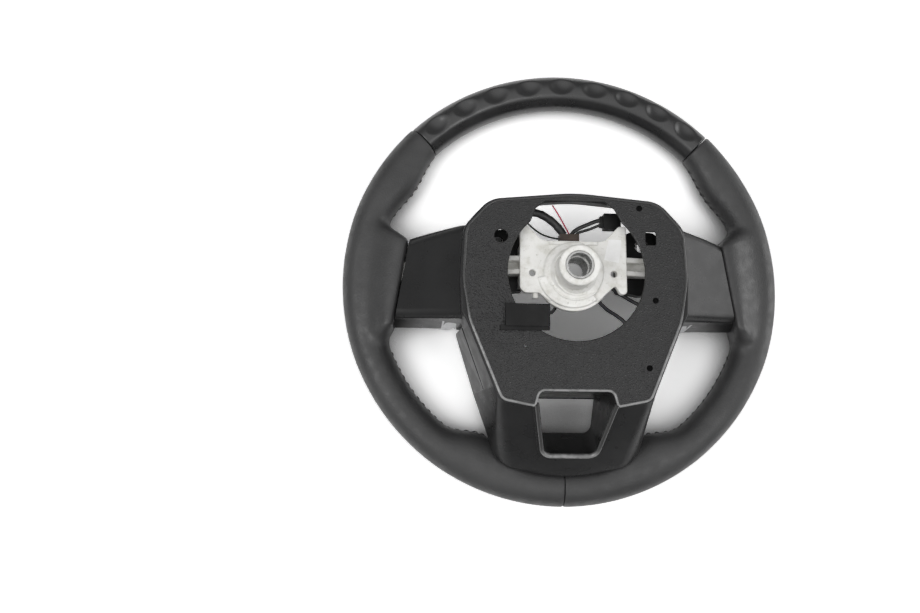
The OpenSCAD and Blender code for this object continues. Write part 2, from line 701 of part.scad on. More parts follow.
// Places and sizes of a pod's three switches: [x, y, width, length]
switch_places = [[rocker_x, window_y, rocker_w, rocker_l],
    [button_x, window_y + button_step, button_w, button_w],
    [button_x, window_y - button_step, button_w, button_w]];

// Outline of the carrier's back, which reaches up between the spoke's walls
carrier_corners = [[cover_half_w + 4.4, -38.6, 3, 3, 0], [seam_x - 5.8, -31, 3, 3, 0],
    [seam_x - 12.6, 29.2, 3, 3, 0], [cover_half_w + 4.4, 32.6, 3, 3, 0]];

module switch_carrier() {
    difference() {
        union() {
            translate([0, 0, carrier_low]) linear_extrude(spoke_front - seam_gap / 2 - carrier_low)
                polygon(flat(outline(bezel_corners), 2.4));
            translate([0, 0, carrier_low + 1]) linear_extrude(carrier_top - carrier_low - 1)
                polygon(flat(outline(carrier_corners), 0));
        }
        for (s = switch_places) translate([s[0], s[1], carrier_low - 1])
            linear_extrude(carrier_top - carrier_low - 1)
                square([s[2] + 2 * button_gap, s[3] + 2 * button_gap], center = true);
        // Bearings for the rocker's pin
        translate([rocker_x, window_y, rocker_pin_z]) rotate([0, 90, 0])
            cylinder(r = rocker_pin_r + 0.08, h = rocker_w + 3.6, center = true);
    }
}

rocker_pin_r = 1.2;
rocker_pin_z = carrier_low + 3;

// The board's two corners keep their distance to the cover's edge and to the seam's ends
board_t = 1.6;
board_from = [cover_half_w + 8, -seam_low_y - 1];
board_to = [seam_x - 11.4, seam_top_y - 8];

module switch_board() {
    translate([board_from[0], board_from[1], carrier_top])
        cube([board_to[0] - board_from[0], board_to[1] - board_from[1], board_t]);
}

module rocker() {
    translate([rocker_x, window_y, 0]) {
        rotate([90, 0, 90]) linear_extrude(rocker_w, center = true) polygon([
            [-rocker_l / 2, button_face], [-2, button_face + 0.9], [2, button_face + 0.9],
            [rocker_l / 2, button_face], [rocker_l / 2 - 0.3, button_back - 1.6],
            [3, button_back], [-3, button_back], [-rocker_l / 2 + 0.3, button_back - 1.6]]);
        translate([0, 0, rocker_pin_z]) rotate([0, 90, 0])
            cylinder(r = rocker_pin_r, h = rocker_w + 3, center = true);
    }
}

module push_button(up) {
    translate([button_x, window_y + up * button_step, 0]) {
        translate([0, 0, button_face]) linear_extrude(button_back - button_travel - button_face)
            square([button_w, button_w], center = true);
        translate([0, 0, button_back - button_travel]) cylinder(r = 3, h = 1.4);
    }
}

module left_switch_bezel() {
    color([0.72, 0.73, 0.74]) mirror([1, 0, 0]) switch_bezel();
}

module right_switch_bezel() {
    color([0.72, 0.73, 0.74]) switch_bezel();
}

module left_switch_carrier() {
    color([0.12, 0.12, 0.12]) mirror([1, 0, 0]) switch_carrier();
}

module right_switch_carrier() {
    color([0.12, 0.12, 0.12]) switch_carrier();
}

module left_switch_board() {
    color([0.1, 0.3, 0.16]) mirror([1, 0, 0]) switch_board();
}

module right_switch_board() {
    color([0.1, 0.3, 0.16]) switch_board();
}

module left_rocker() {
    color([0.15, 0.15, 0.15]) mirror([1, 0, 0]) rocker();
}

module right_rocker() {
    color([0.15, 0.15, 0.15]) rocker();
}

module left_upper_button() {
    color([0.15, 0.15, 0.15]) mirror([1, 0, 0]) push_button(1);
}

module right_upper_button() {
    color([0.15, 0.15, 0.15]) push_button(1);
}

module left_lower_button() {
    color([0.15, 0.15, 0.15]) mirror([1, 0, 0]) push_button(-1);
}

module right_lower_button() {
    color([0.15, 0.15, 0.15]) push_button(-1);
}

// Catches for the centre module, hung under the arms

catch_depth = 20;
catch_x = catch_pitch / 2;
catch_leg = catch_bore_d / 2.6;

// Outline of the housing and its pocket, from the catch's bore
catch_corners = [[-14.3, -25.5, 3, 3, 0], [13.7, -25.5, 3, 3, 0],
    [13.7, 11.5, 6, 4, 0], [-14.3, 11.5, 6, 4, 0]];

module catch_housing() {
    translate([catch_x, catch_y, arm_low - catch_depth]) difference() {
        linear_extrude(catch_depth) polygon(flat(outline(catch_corners), 0));
        translate([0, 0, -1]) cylinder(d = catch_bore_d, h = catch_depth + 2);
        translate([-10.3, -22.5, -1]) cube([20, 12, catch_depth - 3]);
        for (s = [-1, 1]) translate([s * catch_leg, -6.5, catch_depth - 3])
            rotate([-90, 0, 0]) cylinder(d = spring_wire_d + 0.2, h = 30);
    }
}

// Wire hairpin whose legs cross the catch bore
module catch_spring() {
    leg_from = -6;
    leg_to = 13.5;
    translate([catch_x, catch_y, arm_low - 3]) {
        for (s = [-1, 1]) translate([s * catch_leg, leg_from, 0])
            rotate([-90, 0, 0]) cylinder(d = spring_wire_d, h = leg_to - leg_from);
        translate([0, leg_to, 0]) rotate_extrude(angle = 180)
            translate([catch_leg, 0]) circle(d = spring_wire_d);
    }
}

module left_catch_housing() {
    color([0.08, 0.08, 0.08]) mirror([1, 0, 0]) catch_housing();
}

module right_catch_housing() {
    color([0.08, 0.08, 0.08]) catch_housing();
}

module left_catch_spring() {
    color([0.75, 0.75, 0.75]) mirror([1, 0, 0]) catch_spring();
}

module right_catch_spring() {
    color([0.75, 0.75, 0.75]) catch_spring();
}

// Black block that is clipped over the opening's lower left edge. Its foot stands just inside the
// opening, and the block and its flange are placed from the foot's corner.
clip_foot = opening_centre + (opening_r - 1.4) * [cos(227.2), sin(227.2)];
clip_block = [35.5, 18, 4];
clip_flange = [39.5, 4, 2.2];
clip_leg = [12, 11, 6 + cover_t + 1];

module wiring_clip() {
    color([0.05, 0.05, 0.05]) translate([clip_foot[0], clip_foot[1], cover_top]) {
        translate([-21, -5, 0]) cube(clip_block);
        translate([-25, -8, 0]) cube(clip_flange);
        translate([0, 0, -cover_t - 6]) cube(clip_leg);
    }
}

// Harness. A lead is a round tube along points chosen by hand.

function lead_dir(p, i) = unit(p[min(i + 1, len(p) - 1)] - p[max(i - 1, 0)]);

module lead(points, d) {
    skin([for (i = [0:len(points) - 1])
        let (dir = lead_dir(points, i),
            a = unit(cross(dir, [0, 0, 1])),
            b = cross(dir, a))
        [for (j = [0:7]) points[i] + d / 2 * (a * cos(j * 45) + b * sin(j * 45))]]);
}

// Connector at the plate's upper edge
connector_z = plate_top - 12;

module hub_connector() {
    color([0.2, 0.17, 0.12]) translate([-10, 25.8, connector_z - 5]) cube([16, 7, 12]);
}

module side_connector() {
    color([0.04, 0.04, 0.04]) translate([27, 38, connector_z - 4]) {
        cube([14, 13, 10]);
        translate([-3, 2, 2]) cube([3.2, 9, 6]);
    }
}

left_sleeve_route = [[-6, 33, -43], [-9, 37, -42.5], [-14, 42, -41], [-20, 46, -39], [-27, 49, -37],
    [-34, 50, -36], [-41, 50, -35.5], [-48, 49, -35.5], [-55, 47, -36]];
right_lead_route = [[0, 33, -43], [3, 36.5, -43], [8, 39.5, -42.5], [15, 42.5, -42], [21, 45, -42],
    [26.8, 46.5, -42]];
right_thin_route = [[4, 33, -43], [6, 35, -43], [11, 36.8, -42.8], [17, 38.8, -42.6], [22, 41, -42.3],
    [26.8, 42.4, -42]];
red_route = [[-2, 32, -39], [-3.5, 35, -38], [-6, 38.5, -36], [-8.5, 42, -33.5], [-11, 45.5, -31.5],
    [-14, 50, -30.5], [-17, 55, -31]];
thin_route = [[-10.4, 30, -44], [-14, 30.4, -44], [-19, 31.6, -44], [-25, 34, -44], [-31, 38, -43.5],
    [-37, 43, -42], [-43, 48.5, -40]];
lower_route = [[13, -11, -41.8], [17, -15, -42.2], [22, -21, -44.5], [30, -28, -47], [38, -33, -47.5],
    [44, -38, -46.5], [48, -44, -45], [51, -51, -43]];
lower_side_route = [[34, -11, -44], [39, -14.5, -45], [45, -18, -45], [52, -22, -44.5], [59, -26, -43],
    [66, -30, -41.5]];
clip_route = [[-25, -35, -26.5], [-21.5, -34.5, -28.5], [-18.5, -33.5, -33], [-16.5, -32, -38],
    [-14.5, -29.5, -42], [-11.5, -25.5, -44.5], [-9, -20.5, -45]];

module left_harness_sleeve() {
    color([0.05, 0.05, 0.05]) lead(left_sleeve_route, 7);
}

module right_harness_lead() {
    color([0.05, 0.05, 0.05]) lead(right_lead_route, 3.4);
}

module right_thin_lead() {
    color([0.05, 0.05, 0.05]) lead(right_thin_route, 2.4);
}

module red_wire() {
    color([0.7, 0.1, 0.15]) lead(red_route, 1.6);
}

module thin_wire() {
    color([0.05, 0.05, 0.05]) lead(thin_route, 1.6);
}

module lower_lead() {
    color([0.05, 0.05, 0.05]) lead(lower_route, 3.2);
}

module lower_side_lead() {
    color([0.05, 0.05, 0.05]) lead(lower_side_route, 3.2);
}

module clip_lead() {
    color([0.05, 0.05, 0.05]) lead(clip_route, 3);
}

armature();
hub_bush();
rim_core();
upper_grip();
left_leather_grip();
right_leather_grip();
rear_cover();
rear_shell();
cover_screws();
wiring_clip();
lower_spoke_trim();
left_switch_bezel();
right_switch_bezel();
left_switch_carrier();
right_switch_carrier();
left_switch_board();
right_switch_board();
left_rocker();
right_rocker();
left_upper_button();
right_upper_button();
left_lower_button();
right_lower_button();
left_catch_housing();
right_catch_housing();
left_catch_spring();
right_catch_spring();
hub_connector();
side_connector();
left_harness_sleeve();
right_harness_lead();
right_thin_lead();
red_wire();
thin_wire();
lower_lead();
lower_side_lead();
clip_lead();
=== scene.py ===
"""Looks of the car steering wheel: leather, mouldings, casting, harness, camera and light.

Lengths are millimetres in the part's own frame until mesh_piece() turns them into metres.
"""

import json
import math

import bmesh
import bpy
import numpy as np
from mathutils import Matrix, Vector


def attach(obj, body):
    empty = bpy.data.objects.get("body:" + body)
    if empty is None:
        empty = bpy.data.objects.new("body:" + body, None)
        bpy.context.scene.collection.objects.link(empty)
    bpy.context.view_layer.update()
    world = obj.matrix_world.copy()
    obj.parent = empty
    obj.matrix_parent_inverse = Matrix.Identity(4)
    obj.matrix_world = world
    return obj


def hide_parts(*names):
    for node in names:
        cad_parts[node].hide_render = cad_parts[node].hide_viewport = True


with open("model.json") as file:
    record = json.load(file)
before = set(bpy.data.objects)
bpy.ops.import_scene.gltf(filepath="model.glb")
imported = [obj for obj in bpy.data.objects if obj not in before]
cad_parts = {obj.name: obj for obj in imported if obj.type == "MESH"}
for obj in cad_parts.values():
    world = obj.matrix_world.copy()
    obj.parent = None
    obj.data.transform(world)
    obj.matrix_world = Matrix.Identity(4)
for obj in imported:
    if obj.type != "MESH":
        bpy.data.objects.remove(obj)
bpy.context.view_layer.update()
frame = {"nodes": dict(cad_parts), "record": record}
scene = bpy.context.scene
nodes = frame["nodes"]

MM = 0.001
SIDES = {1: "right", -1: "left"}

# Sizes repeated from the part's source
RIM_Z = -98.0
RIM_R = 174.25
GRIP_HALF_W = 15.75
GRIP_HALF_H = 16.0
LOW_FLARE = 12.0
THUMB_SWELL = 6.0
SEAM_X = 138.8
SEAM_SLANT = 0.169
SEAM_GAP = 0.6
SEAM_Z = -67.0
SPOKE_FRONT = -88.0
UPPER_R = 15.0
UPPER_HALF_ANGLE = 44.0


# Camera and light. The floor's numbers: brightness of its colour as the camera sees it in the open and, as painted
# shade, close under the wheel, share of that for glossy rays, reach of the painted shade in mm, and the four ends in
# mm.

FLOOR_COLOUR = 0.85
FLOOR_DROP = 0.3
FLOOR_SEEN = 1.65
FLOOR_MIRRORED = 0.5
FLOOR_PAINTED_SHADE = 0.42
FLOOR_SHADE_REACH = 72
FLOOR_ENDS = (-620, 480, -330, 420)
DOME = 0.12
SKY_MIRRORED = 0.12
# Soft bright patches of the sky: direction, cosines where each starts and is full, radiance
SKY_LIGHTS = (
    ((-0.22, -0.20, 0.95), 0.30, 0.92, 0.95),
    ((1.0, 0.14, 0.11), 0.87, 0.975, 3.2),
)
FOCAL_PX = 1100
PHOTO_W = 920
SENSOR_MM = 36.0


def add_camera():
    """A 43 mm lens at the photograph's place, found from the rim's ellipse and the paired features."""
    right = Vector((0.99792, 0.00675, 0.06404))
    down = Vector((0.01647, -0.98817, -0.15246))
    forward = Vector((0.06226, 0.1532, -0.98623))
    place = Vector((-147.4, -165.54, 840.87)) * MM
    data = bpy.data.cameras.new("camera")
    data.sensor_fit = "HORIZONTAL"
    data.sensor_width = SENSOR_MM
    data.lens = FOCAL_PX * SENSOR_MM / PHOTO_W
    data.clip_end = 50
    camera = bpy.data.objects.new("camera", data)
    turn = Matrix((right, -down, -forward)).transposed()
    camera.matrix_world = Matrix.Translation(place) @ turn.to_4x4()
    scene.collection.objects.link(camera)
    scene.camera = camera


def add_lamp(name, place, target, size, power):
    data = bpy.data.lights.new(name, "AREA")
    data.shape = "DISK"
    data.size = size
    data.energy = power
    lamp = bpy.data.objects.new(name, data)
    lamp.location = place
    lamp.rotation_mode = "QUATERNION"
    lamp.rotation_quaternion = (Vector(target) - Vector(place)).to_track_quat("-Z", "Y")
    scene.collection.objects.link(lamp)


def node_adder(tree):
    """A function that adds a node of a kind to the tree, with its settings."""

    def node(kind, **settings):
        made = tree.nodes.new(kind)
        for key, value in settings.items():
            setattr(made, key, value)
        return made

    return node


def set_range(made, start, end, low, high):
    """Start and end of a Map Range node's input, and what it gives there."""
    for key, value in (("From Min", start), ("From Max", end), ("To Min", low), ("To Max", high)):
        made.inputs[key].default_value = value
    return made


def add_world():
    """A dim dome with soft bright patches. Camera and transmission rays see it white, glossy rays in part."""
    world = bpy.data.worlds.new("studio")
    scene.world = world
    world.use_nodes = True
    tree = world.node_tree
    tree.nodes.clear()
    node = node_adder(tree)
    place = node("ShaderNodeTexCoord").outputs["Generated"]
    total = None
    for direction, start, end, radiance in SKY_LIGHTS:
        facing = node("ShaderNodeVectorMath", operation="DOT_PRODUCT")
        facing.inputs[1].default_value = Vector(direction).normalized()
        tree.links.new(place, facing.inputs[0])
        share = set_range(node("ShaderNodeMapRange", interpolation_type="SMOOTHSTEP"), start, end, 0.0, radiance)
        tree.links.new(facing.outputs["Value"], share.inputs["Value"])
        added = node("ShaderNodeMath", operation="ADD")
        added.inputs[1].default_value = DOME
        tree.links.new(share.outputs[0], added.inputs[0])
        if total is not None:
            tree.links.new(total.outputs[0], added.inputs[1])
        total = added
    rays = node("ShaderNodeLightPath")
    shown = node("ShaderNodeMix", data_type="FLOAT")
    shown.inputs[3].default_value = 1.0
    through = node("ShaderNodeMath", operation="ADD")
    tree.links.new(rays.outputs["Is Camera Ray"], through.inputs[0])
    tree.links.new(rays.outputs["Is Transmission Ray"], through.inputs[1])
    share = node("ShaderNodeMath", operation="MULTIPLY_ADD")
    share.inputs[1].default_value = SKY_MIRRORED
    tree.links.new(rays.outputs["Is Glossy Ray"], share.inputs[0])
    tree.links.new(through.outputs[0], share.inputs[2])
    tree.links.new(share.outputs[0], shown.inputs[0])
    tree.links.new(total.outputs[0], shown.inputs[2])
    sky = node("ShaderNodeBackground")
    sky.inputs["Color"].default_value = (1, 1, 1, 1)
    tree.links.new(shown.outputs[0], sky.inputs["Strength"])
    out = node("ShaderNodeOutputWorld")
    tree.links.new(sky.outputs[0], out.inputs["Surface"])


def add_floor():
    """A pale floor under the wheel, clear from below. Camera and glossy rays see it whiter, shadows kept, and its
    colour is darkened by ambient occlusion close under the wheel: painted shade.
    """
    z = RIM_Z - GRIP_HALF_H - FLOOR_DROP
    left, right, front, back = FLOOR_ENDS
    corners = [(left, front, z), (right, front, z), (right, back, z), (left, back, z)]
    data = bpy.data.meshes.new("floor")
    data.from_pydata([[c * MM for c in p] for p in corners], [], [(0, 1, 2, 3)])
    floor = bpy.data.objects.new("floor", data)
    scene.collection.objects.link(floor)
    material = bpy.data.materials.new("floor_white")
    material.use_nodes = True
    tree = material.node_tree
    tree.nodes.clear()
    node = node_adder(tree)
    # Ambient occlusion darkens the floor's colour close under the wheel: painted shade, on top of the shadows that the
    # lamps cast.
    near = node("ShaderNodeAmbientOcclusion", samples=16)
    near.inputs["Distance"].default_value = FLOOR_SHADE_REACH * MM
    painted_shade_level = node("ShaderNodeMapRange", interpolation_type="SMOOTHSTEP")
    set_range(painted_shade_level, 0.1, 0.66, FLOOR_PAINTED_SHADE, FLOOR_SEEN)
    rays = node("ShaderNodeLightPath")
    through = node("ShaderNodeMath")
    seen = node("ShaderNodeMath", operation="MULTIPLY_ADD")
    seen.inputs[1].default_value = FLOOR_MIRRORED
    shade = node("ShaderNodeMix", data_type="RGBA")
    shade.inputs[6].default_value = (FLOOR_COLOUR, FLOOR_COLOUR, FLOOR_COLOUR, 1)
    paint = node("ShaderNodeBsdfDiffuse")
    side = node("ShaderNodeNewGeometry")
    one_sided = node("ShaderNodeMixShader")
    for start, end in (
        (near.outputs["AO"], painted_shade_level.inputs["Value"]),
        (rays.outputs["Is Camera Ray"], through.inputs[0]),
        (rays.outputs["Is Transmission Ray"], through.inputs[1]),
        (rays.outputs["Is Glossy Ray"], seen.inputs[0]),
        (through.outputs[0], seen.inputs[2]),
        (seen.outputs[0], shade.inputs[0]),
        (painted_shade_level.outputs[0], shade.inputs[7]),
        (shade.outputs[2], paint.inputs["Color"]),
        (side.outputs["Backfacing"], one_sided.inputs[0]),
        (paint.outputs[0], one_sided.inputs[1]),
        (node("ShaderNodeBsdfTransparent").outputs[0], one_sided.inputs[2]),
        (one_sided.outputs[0], node("ShaderNodeOutputMaterial").inputs["Surface"]),
    ):
        tree.links.new(start, end)
    data.materials.append(material)


scene.view_settings.view_transform = "Standard"
add_camera()
add_world()
add_floor()
add_lamp("right_box", (0.95, -0.75, 1.65), (0, 0, -0.1), 0.9, 4.5)
add_lamp("left_box", (-1.2, -0.35, 1.45), (0, 0, -0.1), 0.9, 8)


# Materials. Texture sizes are in millimetres, because every object lies in the frame of the part.


class Paint:
    """Builds one node material: patchy colour, patchy roughness, and bumps one on another."""

    def __init__(self, name, metallic=0.0, specular=0.5):
        self.material = bpy.data.materials.new(name)
        self.material.use_nodes = True
        self.tree = self.material.node_tree
        self.node = node_adder(self.tree)
        self.shader = self.tree.nodes["Principled BSDF"]
        self.shader.inputs["Metallic"].default_value = metallic
        self.shader.inputs["Specular IOR Level"].default_value = specular
        place = self.node("ShaderNodeTexCoord")
        scale = self.node("ShaderNodeVectorMath", operation="SCALE")
        scale.inputs["Scale"].default_value = 1000.0
        self.link(place.outputs["Object"], scale.inputs[0])
        self.place = scale.outputs[0]
        self.normal = None

    def link(self, a, b):
        self.tree.links.new(a, b)

    def noise(self, size, detail=3.0, rough=0.5):
        made = self.node("ShaderNodeTexNoise")
        made.inputs["Scale"].default_value = 1.0 / size
        made.inputs["Detail"].default_value = detail
        made.inputs["Roughness"].default_value = rough
        self.link(self.place, made.inputs["Vector"])
        return made.outputs["Fac"]

    def cells(self, size):
        made = self.node("ShaderNodeTexVoronoi")
        made.inputs["Scale"].default_value = 1.0 / size
        self.link(self.place, made.inputs["Vector"])
        return made.outputs["Distance"]

    def ramp(self, value, low, high, start=0.35, end=0.65):
        """A value from low to high while the input goes from start to end."""
        made = self.node("ShaderNodeMapRange", interpolation_type="SMOOTHSTEP")
        set_range(made, start, end, low, high)
        self.link(value, made.inputs["Value"])
        return made.outputs["Result"]

    def colour(self, dark, light, value, start=0.3, end=0.7):
        share = self.ramp(value, 0.0, 1.0, start, end)
        mix = self.node("ShaderNodeMix", data_type="RGBA")
        mix.inputs[6].default_value = (*dark, 1)
        mix.inputs[7].default_value = (*light, 1)
        self.link(share, mix.inputs[0])
        self.tint = mix.outputs[2]
        self.link(self.tint, self.shader.inputs["Base Color"])
        return self

    def blend_in(self, shade, share):
        """Covers the colour so far with another one, by a share from 0 to 1."""
        mix = self.node("ShaderNodeMix", data_type="RGBA")
        self.link(share, mix.inputs[0])
        self.link(self.tint, mix.inputs[6])
        mix.inputs[7].default_value = (*shade, 1)
        self.tint = mix.outputs[2]
        self.link(self.tint, self.shader.inputs["Base Color"])
        return self

    def roughness(self, low, high, value, start=0.35, end=0.65):
        self.link(self.ramp(value, low, high, start, end), self.shader.inputs["Roughness"])
        return self

    def times(self, a, b):
        made = self.node("ShaderNodeMath", operation="MULTIPLY")
        self.link(a, made.inputs[0])
        self.link(b, made.inputs[1])
        return made.outputs[0]

    def flatness(self, start, end):
        """1 where the surface faces straight up, 0 on its sides and rolled edges."""
        facing = self.node("ShaderNodeNewGeometry")
        parts = self.node("ShaderNodeSeparateXYZ")
        self.link(facing.outputs["Normal"], parts.inputs[0])
        return self.ramp(parts.outputs["Z"], 0.0, 1.0, start, end)

    def bump(self, height, depth, strength):
        """Adds a height in millimetres, given as a value from 0 to 1 times its depth."""
        made = self.node("ShaderNodeBump")
        made.inputs["Strength"].default_value = strength
        made.inputs["Distance"].default_value = depth * MM
        self.link(height, made.inputs["Height"])
        if self.normal is not None:
            self.link(self.normal, made.inputs["Normal"])
        self.normal = made.outputs["Normal"]
        self.link(self.normal, self.shader.inputs["Normal"])
        return self

    def rounded(self, radius):
        """Softens the edges of a plain solid, as a moulded or cast edge is soft. Comes before any bump."""
        made = self.node("ShaderNodeBevel", samples=6)
        made.inputs["Radius"].default_value = radius * MM
        self.normal = made.outputs["Normal"]
        self.link(self.normal, self.shader.inputs["Normal"])
        return self


def leather_paint():
    paint = Paint("leather", specular=0.62)
    paint.colour((0.027, 0.027, 0.0275), (0.037, 0.037, 0.0375), paint.noise(38, 4))
    paint.roughness(0.42, 0.54, paint.noise(9, 3))
    paint.bump(paint.noise(26, 2), 0.9, 0.35)
    paint.bump(paint.cells(1.5), 0.16, 0.75)
    paint.bump(paint.noise(0.8, 2), 0.05, 0.5)
    return paint.material


def grip_paint():
    paint = Paint("moulded_grip", specular=0.75)
    paint.colour((0.016, 0.016, 0.0165), (0.021, 0.021, 0.0215), paint.noise(60, 3))
    paint.roughness(0.26, 0.33, paint.noise(20, 3))
    paint.bump(paint.noise(0.9, 2), 0.03, 0.5)
    return paint.material


def cover_paint():
    paint = Paint("cover_plastic", specular=0.5)
    flat = paint.flatness(0.80, 0.97)
    specks = paint.times(paint.ramp(paint.cells(1.5), 1.0, 0.0, 0.05, 0.42), paint.ramp(paint.noise(7, 3), 0.3, 1.0))
    paint.colour((0.016, 0.016, 0.0164), (0.075, 0.075, 0.0755), paint.times(specks, flat), 0.0, 1.0)
    paint.roughness(0.22, 0.40, paint.times(paint.noise(8, 2), flat), 0.0, 0.6)
    paint.bump(paint.times(paint.ramp(paint.cells(1.5), 1.0, 0.0, 0.0, 0.6), flat), 0.55, 1.0)
    paint.bump(paint.times(paint.noise(1.0, 3), flat), 0.3, 0.9)
    return paint.material


def shell_paint():
    paint = Paint("shell_plastic", specular=0.26)
    paint.colour((0.016, 0.016, 0.0163), (0.020, 0.020, 0.0204), paint.noise(45, 4))
    paint.roughness(0.27, 0.35, paint.noise(14, 3))
    paint.rounded(0.5)
    paint.bump(paint.noise(0.7, 2), 0.04, 0.6)
    return paint.material


def cast_paint():
    paint = Paint("cast_alloy", metallic=0.1, specular=0.35)
    paint.colour((0.70, 0.69, 0.64), (0.88, 0.875, 0.85), paint.noise(9, 5, 0.6), 0.25, 0.6)
    paint.blend_in((0.40, 0.385, 0.33), paint.ramp(paint.noise(3.2, 4, 0.65), 0.0, 0.75, 0.58, 0.76))
    paint.roughness(0.48, 0.68, paint.noise(5, 3))
    paint.rounded(1.6)
    paint.bump(paint.noise(3.5, 3), 0.5, 0.4)
    paint.bump(paint.noise(0.7, 3), 0.12, 0.6)
    return paint.material


def steel_paint(name, dark, light, rough, grain=1.6):
    paint = Paint(name, metallic=1.0)
    paint.colour(dark, light, paint.noise(grain * 3, 4))
    paint.roughness(rough, rough + 0.15, paint.noise(grain, 3))
    paint.rounded(0.3)
    paint.bump(paint.noise(grain, 3), 0.03, 0.5)
    return paint.material


def plastic_paint(name, dark, light, rough, grain=1.0, depth=0.05, specular=0.5):
    paint = Paint(name, specular=specular)
    paint.colour(dark, light, paint.noise(14, 4))
    paint.roughness(rough, rough + 0.12, paint.noise(5, 3))
    paint.rounded(0.5)
    paint.bump(paint.noise(grain, 3), depth, 0.6)
    return paint.material


def highlight_edge_paint(name, dark, light, start, end):
    """A smooth rolled edge, its colour lighter towards the front in uneven patches: a painted highlight where the edge
    catches the light.
    """
    paint = Paint(name, specular=0.8)
    parts = paint.node("ShaderNodeSeparateXYZ")
    paint.link(paint.place, parts.inputs[0])
    # Colour lighter towards the front: painted highlight.
    forward = paint.ramp(parts.outputs["Y"], 0.0, 1.0, start, end)
    patchy = paint.times(forward, paint.ramp(paint.noise(5, 3), 0.6, 1.0))
    paint.colour((dark,) * 3, (light,) * 3, patchy, 0.0, 1.0)
    paint.roughness(0.18, 0.26, paint.noise(6, 3))
    paint.bump(paint.noise(0.9, 2), 0.03, 0.5)
    return paint.material


def label_paint():
    paint = Paint("label_paper", specular=0.3)
    paint.colour((0.90, 0.90, 0.89), (0.97, 0.97, 0.965), paint.noise(6, 3))
    paint.roughness(0.5, 0.62, paint.noise(3, 3))
    paint.bump(paint.noise(2.0, 3), 0.05, 0.4)
    return paint.material


PAINTS = {
    "grip_leather": leather_paint(),
    "moulded_grip": grip_paint(),
    "cover_plastic": cover_paint(),
    "shell_plastic": shell_paint(),
    "cast_alloy": cast_paint(),
    "bush_steel": steel_paint("bush_steel", (0.42, 0.42, 0.41), (0.60, 0.60, 0.59), 0.24),
    "core_steel": steel_paint("core_steel", (0.20, 0.20, 0.21), (0.32, 0.32, 0.33), 0.4),
    "spring_steel": steel_paint("spring_steel", (0.62, 0.61, 0.60), (0.78, 0.77, 0.76), 0.18),
    "bezel_silver": steel_paint("bezel_silver", (0.52, 0.52, 0.53), (0.60, 0.60, 0.61), 0.28),
    "screw_black": steel_paint("screw_black", (0.006, 0.006, 0.006), (0.012, 0.012, 0.012), 0.45),
    "black_plastic": plastic_paint("black_plastic", (0.006, 0.006, 0.006), (0.011, 0.011, 0.011), 0.38, specular=0.25),
    "brown_plastic": plastic_paint("brown_plastic", (0.025, 0.014, 0.009), (0.06, 0.038, 0.026), 0.4),
    "board_green": plastic_paint("board_green", (0.01, 0.06, 0.025), (0.015, 0.09, 0.04), 0.35),
    "button_plastic": plastic_paint("button_plastic", (0.02, 0.02, 0.021), (0.03, 0.03, 0.031), 0.42),
    "lead_black": plastic_paint("lead_black", (0.010, 0.010, 0.010), (0.022, 0.022, 0.022), 0.36, 2.2, 0.2),
    "lead_red": plastic_paint("lead_red", (0.30, 0.012, 0.04), (0.45, 0.03, 0.07), 0.4),
}

for row in frame["record"]["subparts"]:
    obj = nodes[row["node"]]
    obj.data.materials.clear()
    obj.data.materials.append(PAINTS[row["material_slot"]])


# Meshes


def mesh_piece(name, points, faces, slot, body="wheel", crisp=None, even=False):
    """A new piece of the object, from points in millimetres. Crisp is the angle above which an edge stays sharp,
    and even keeps large flat faces flat beside rounded edges."""
    data = bpy.data.meshes.new(name)
    data.from_pydata((np.asarray(points, float) * MM).tolist(), [], faces)
    data.validate()
    data.polygons.foreach_set("use_smooth", [True] * len(data.polygons))
    if crisp is not None:
        data.set_sharp_from_angle(angle=math.radians(crisp))
    data.materials.append(PAINTS[slot])
    obj = bpy.data.objects.new(name, data)
    scene.collection.objects.link(obj)
    if even:
        weighted = obj.modifiers.new("even", "WEIGHTED_NORMAL")
        weighted.keep_sharp = True
    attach(obj, body)
    return obj


def grid_faces(rows, columns, closed_rows=False, offset=0):
    """Quads between rings that each close on themselves, facing outwards where rings run clockwise."""
    out = []
    for k in range(rows if closed_rows else rows - 1):
        low, high = k * columns, (k + 1) % rows * columns
        for i in range(columns):
            j = (i + 1) % columns
            out.append((offset + low + i, offset + low + j, offset + high + j, offset + high + i))
    return out


def flipped(faces):
    return [tuple(reversed(f)) for f in faces]


def subdivide(obj, levels):
    made = obj.modifiers.new("subdivide", "SUBSURF")
    made.levels = levels
    made.render_levels = levels


def smooth(a, b, x):
    t = np.clip((x - a) / (b - a), 0.0, 1.0)
    return t * t * (3 - 2 * t)


def mix(a, b, t):
    return np.asarray(a, float) + (np.asarray(b, float) - np.asarray(a, float)) * t


# Leather grips


def low_reach(th):
    return smooth(-50, -62, th) * (1 - 0.8 * smooth(-70, -80, th))


def root_reach(th):
    return 1 - smooth(13.2, 19, th if th > 0 else -th - ROOT_LOW_EXTRA)


def thumb_reach(th):
    return smooth(20, 32, th) * (1 - smooth(33, 46, th))


def grip_inner(th):
    return RIM_R - GRIP_HALF_W - LOW_FLARE * low_reach(th) - THUMB_SWELL * thumb_reach(th)


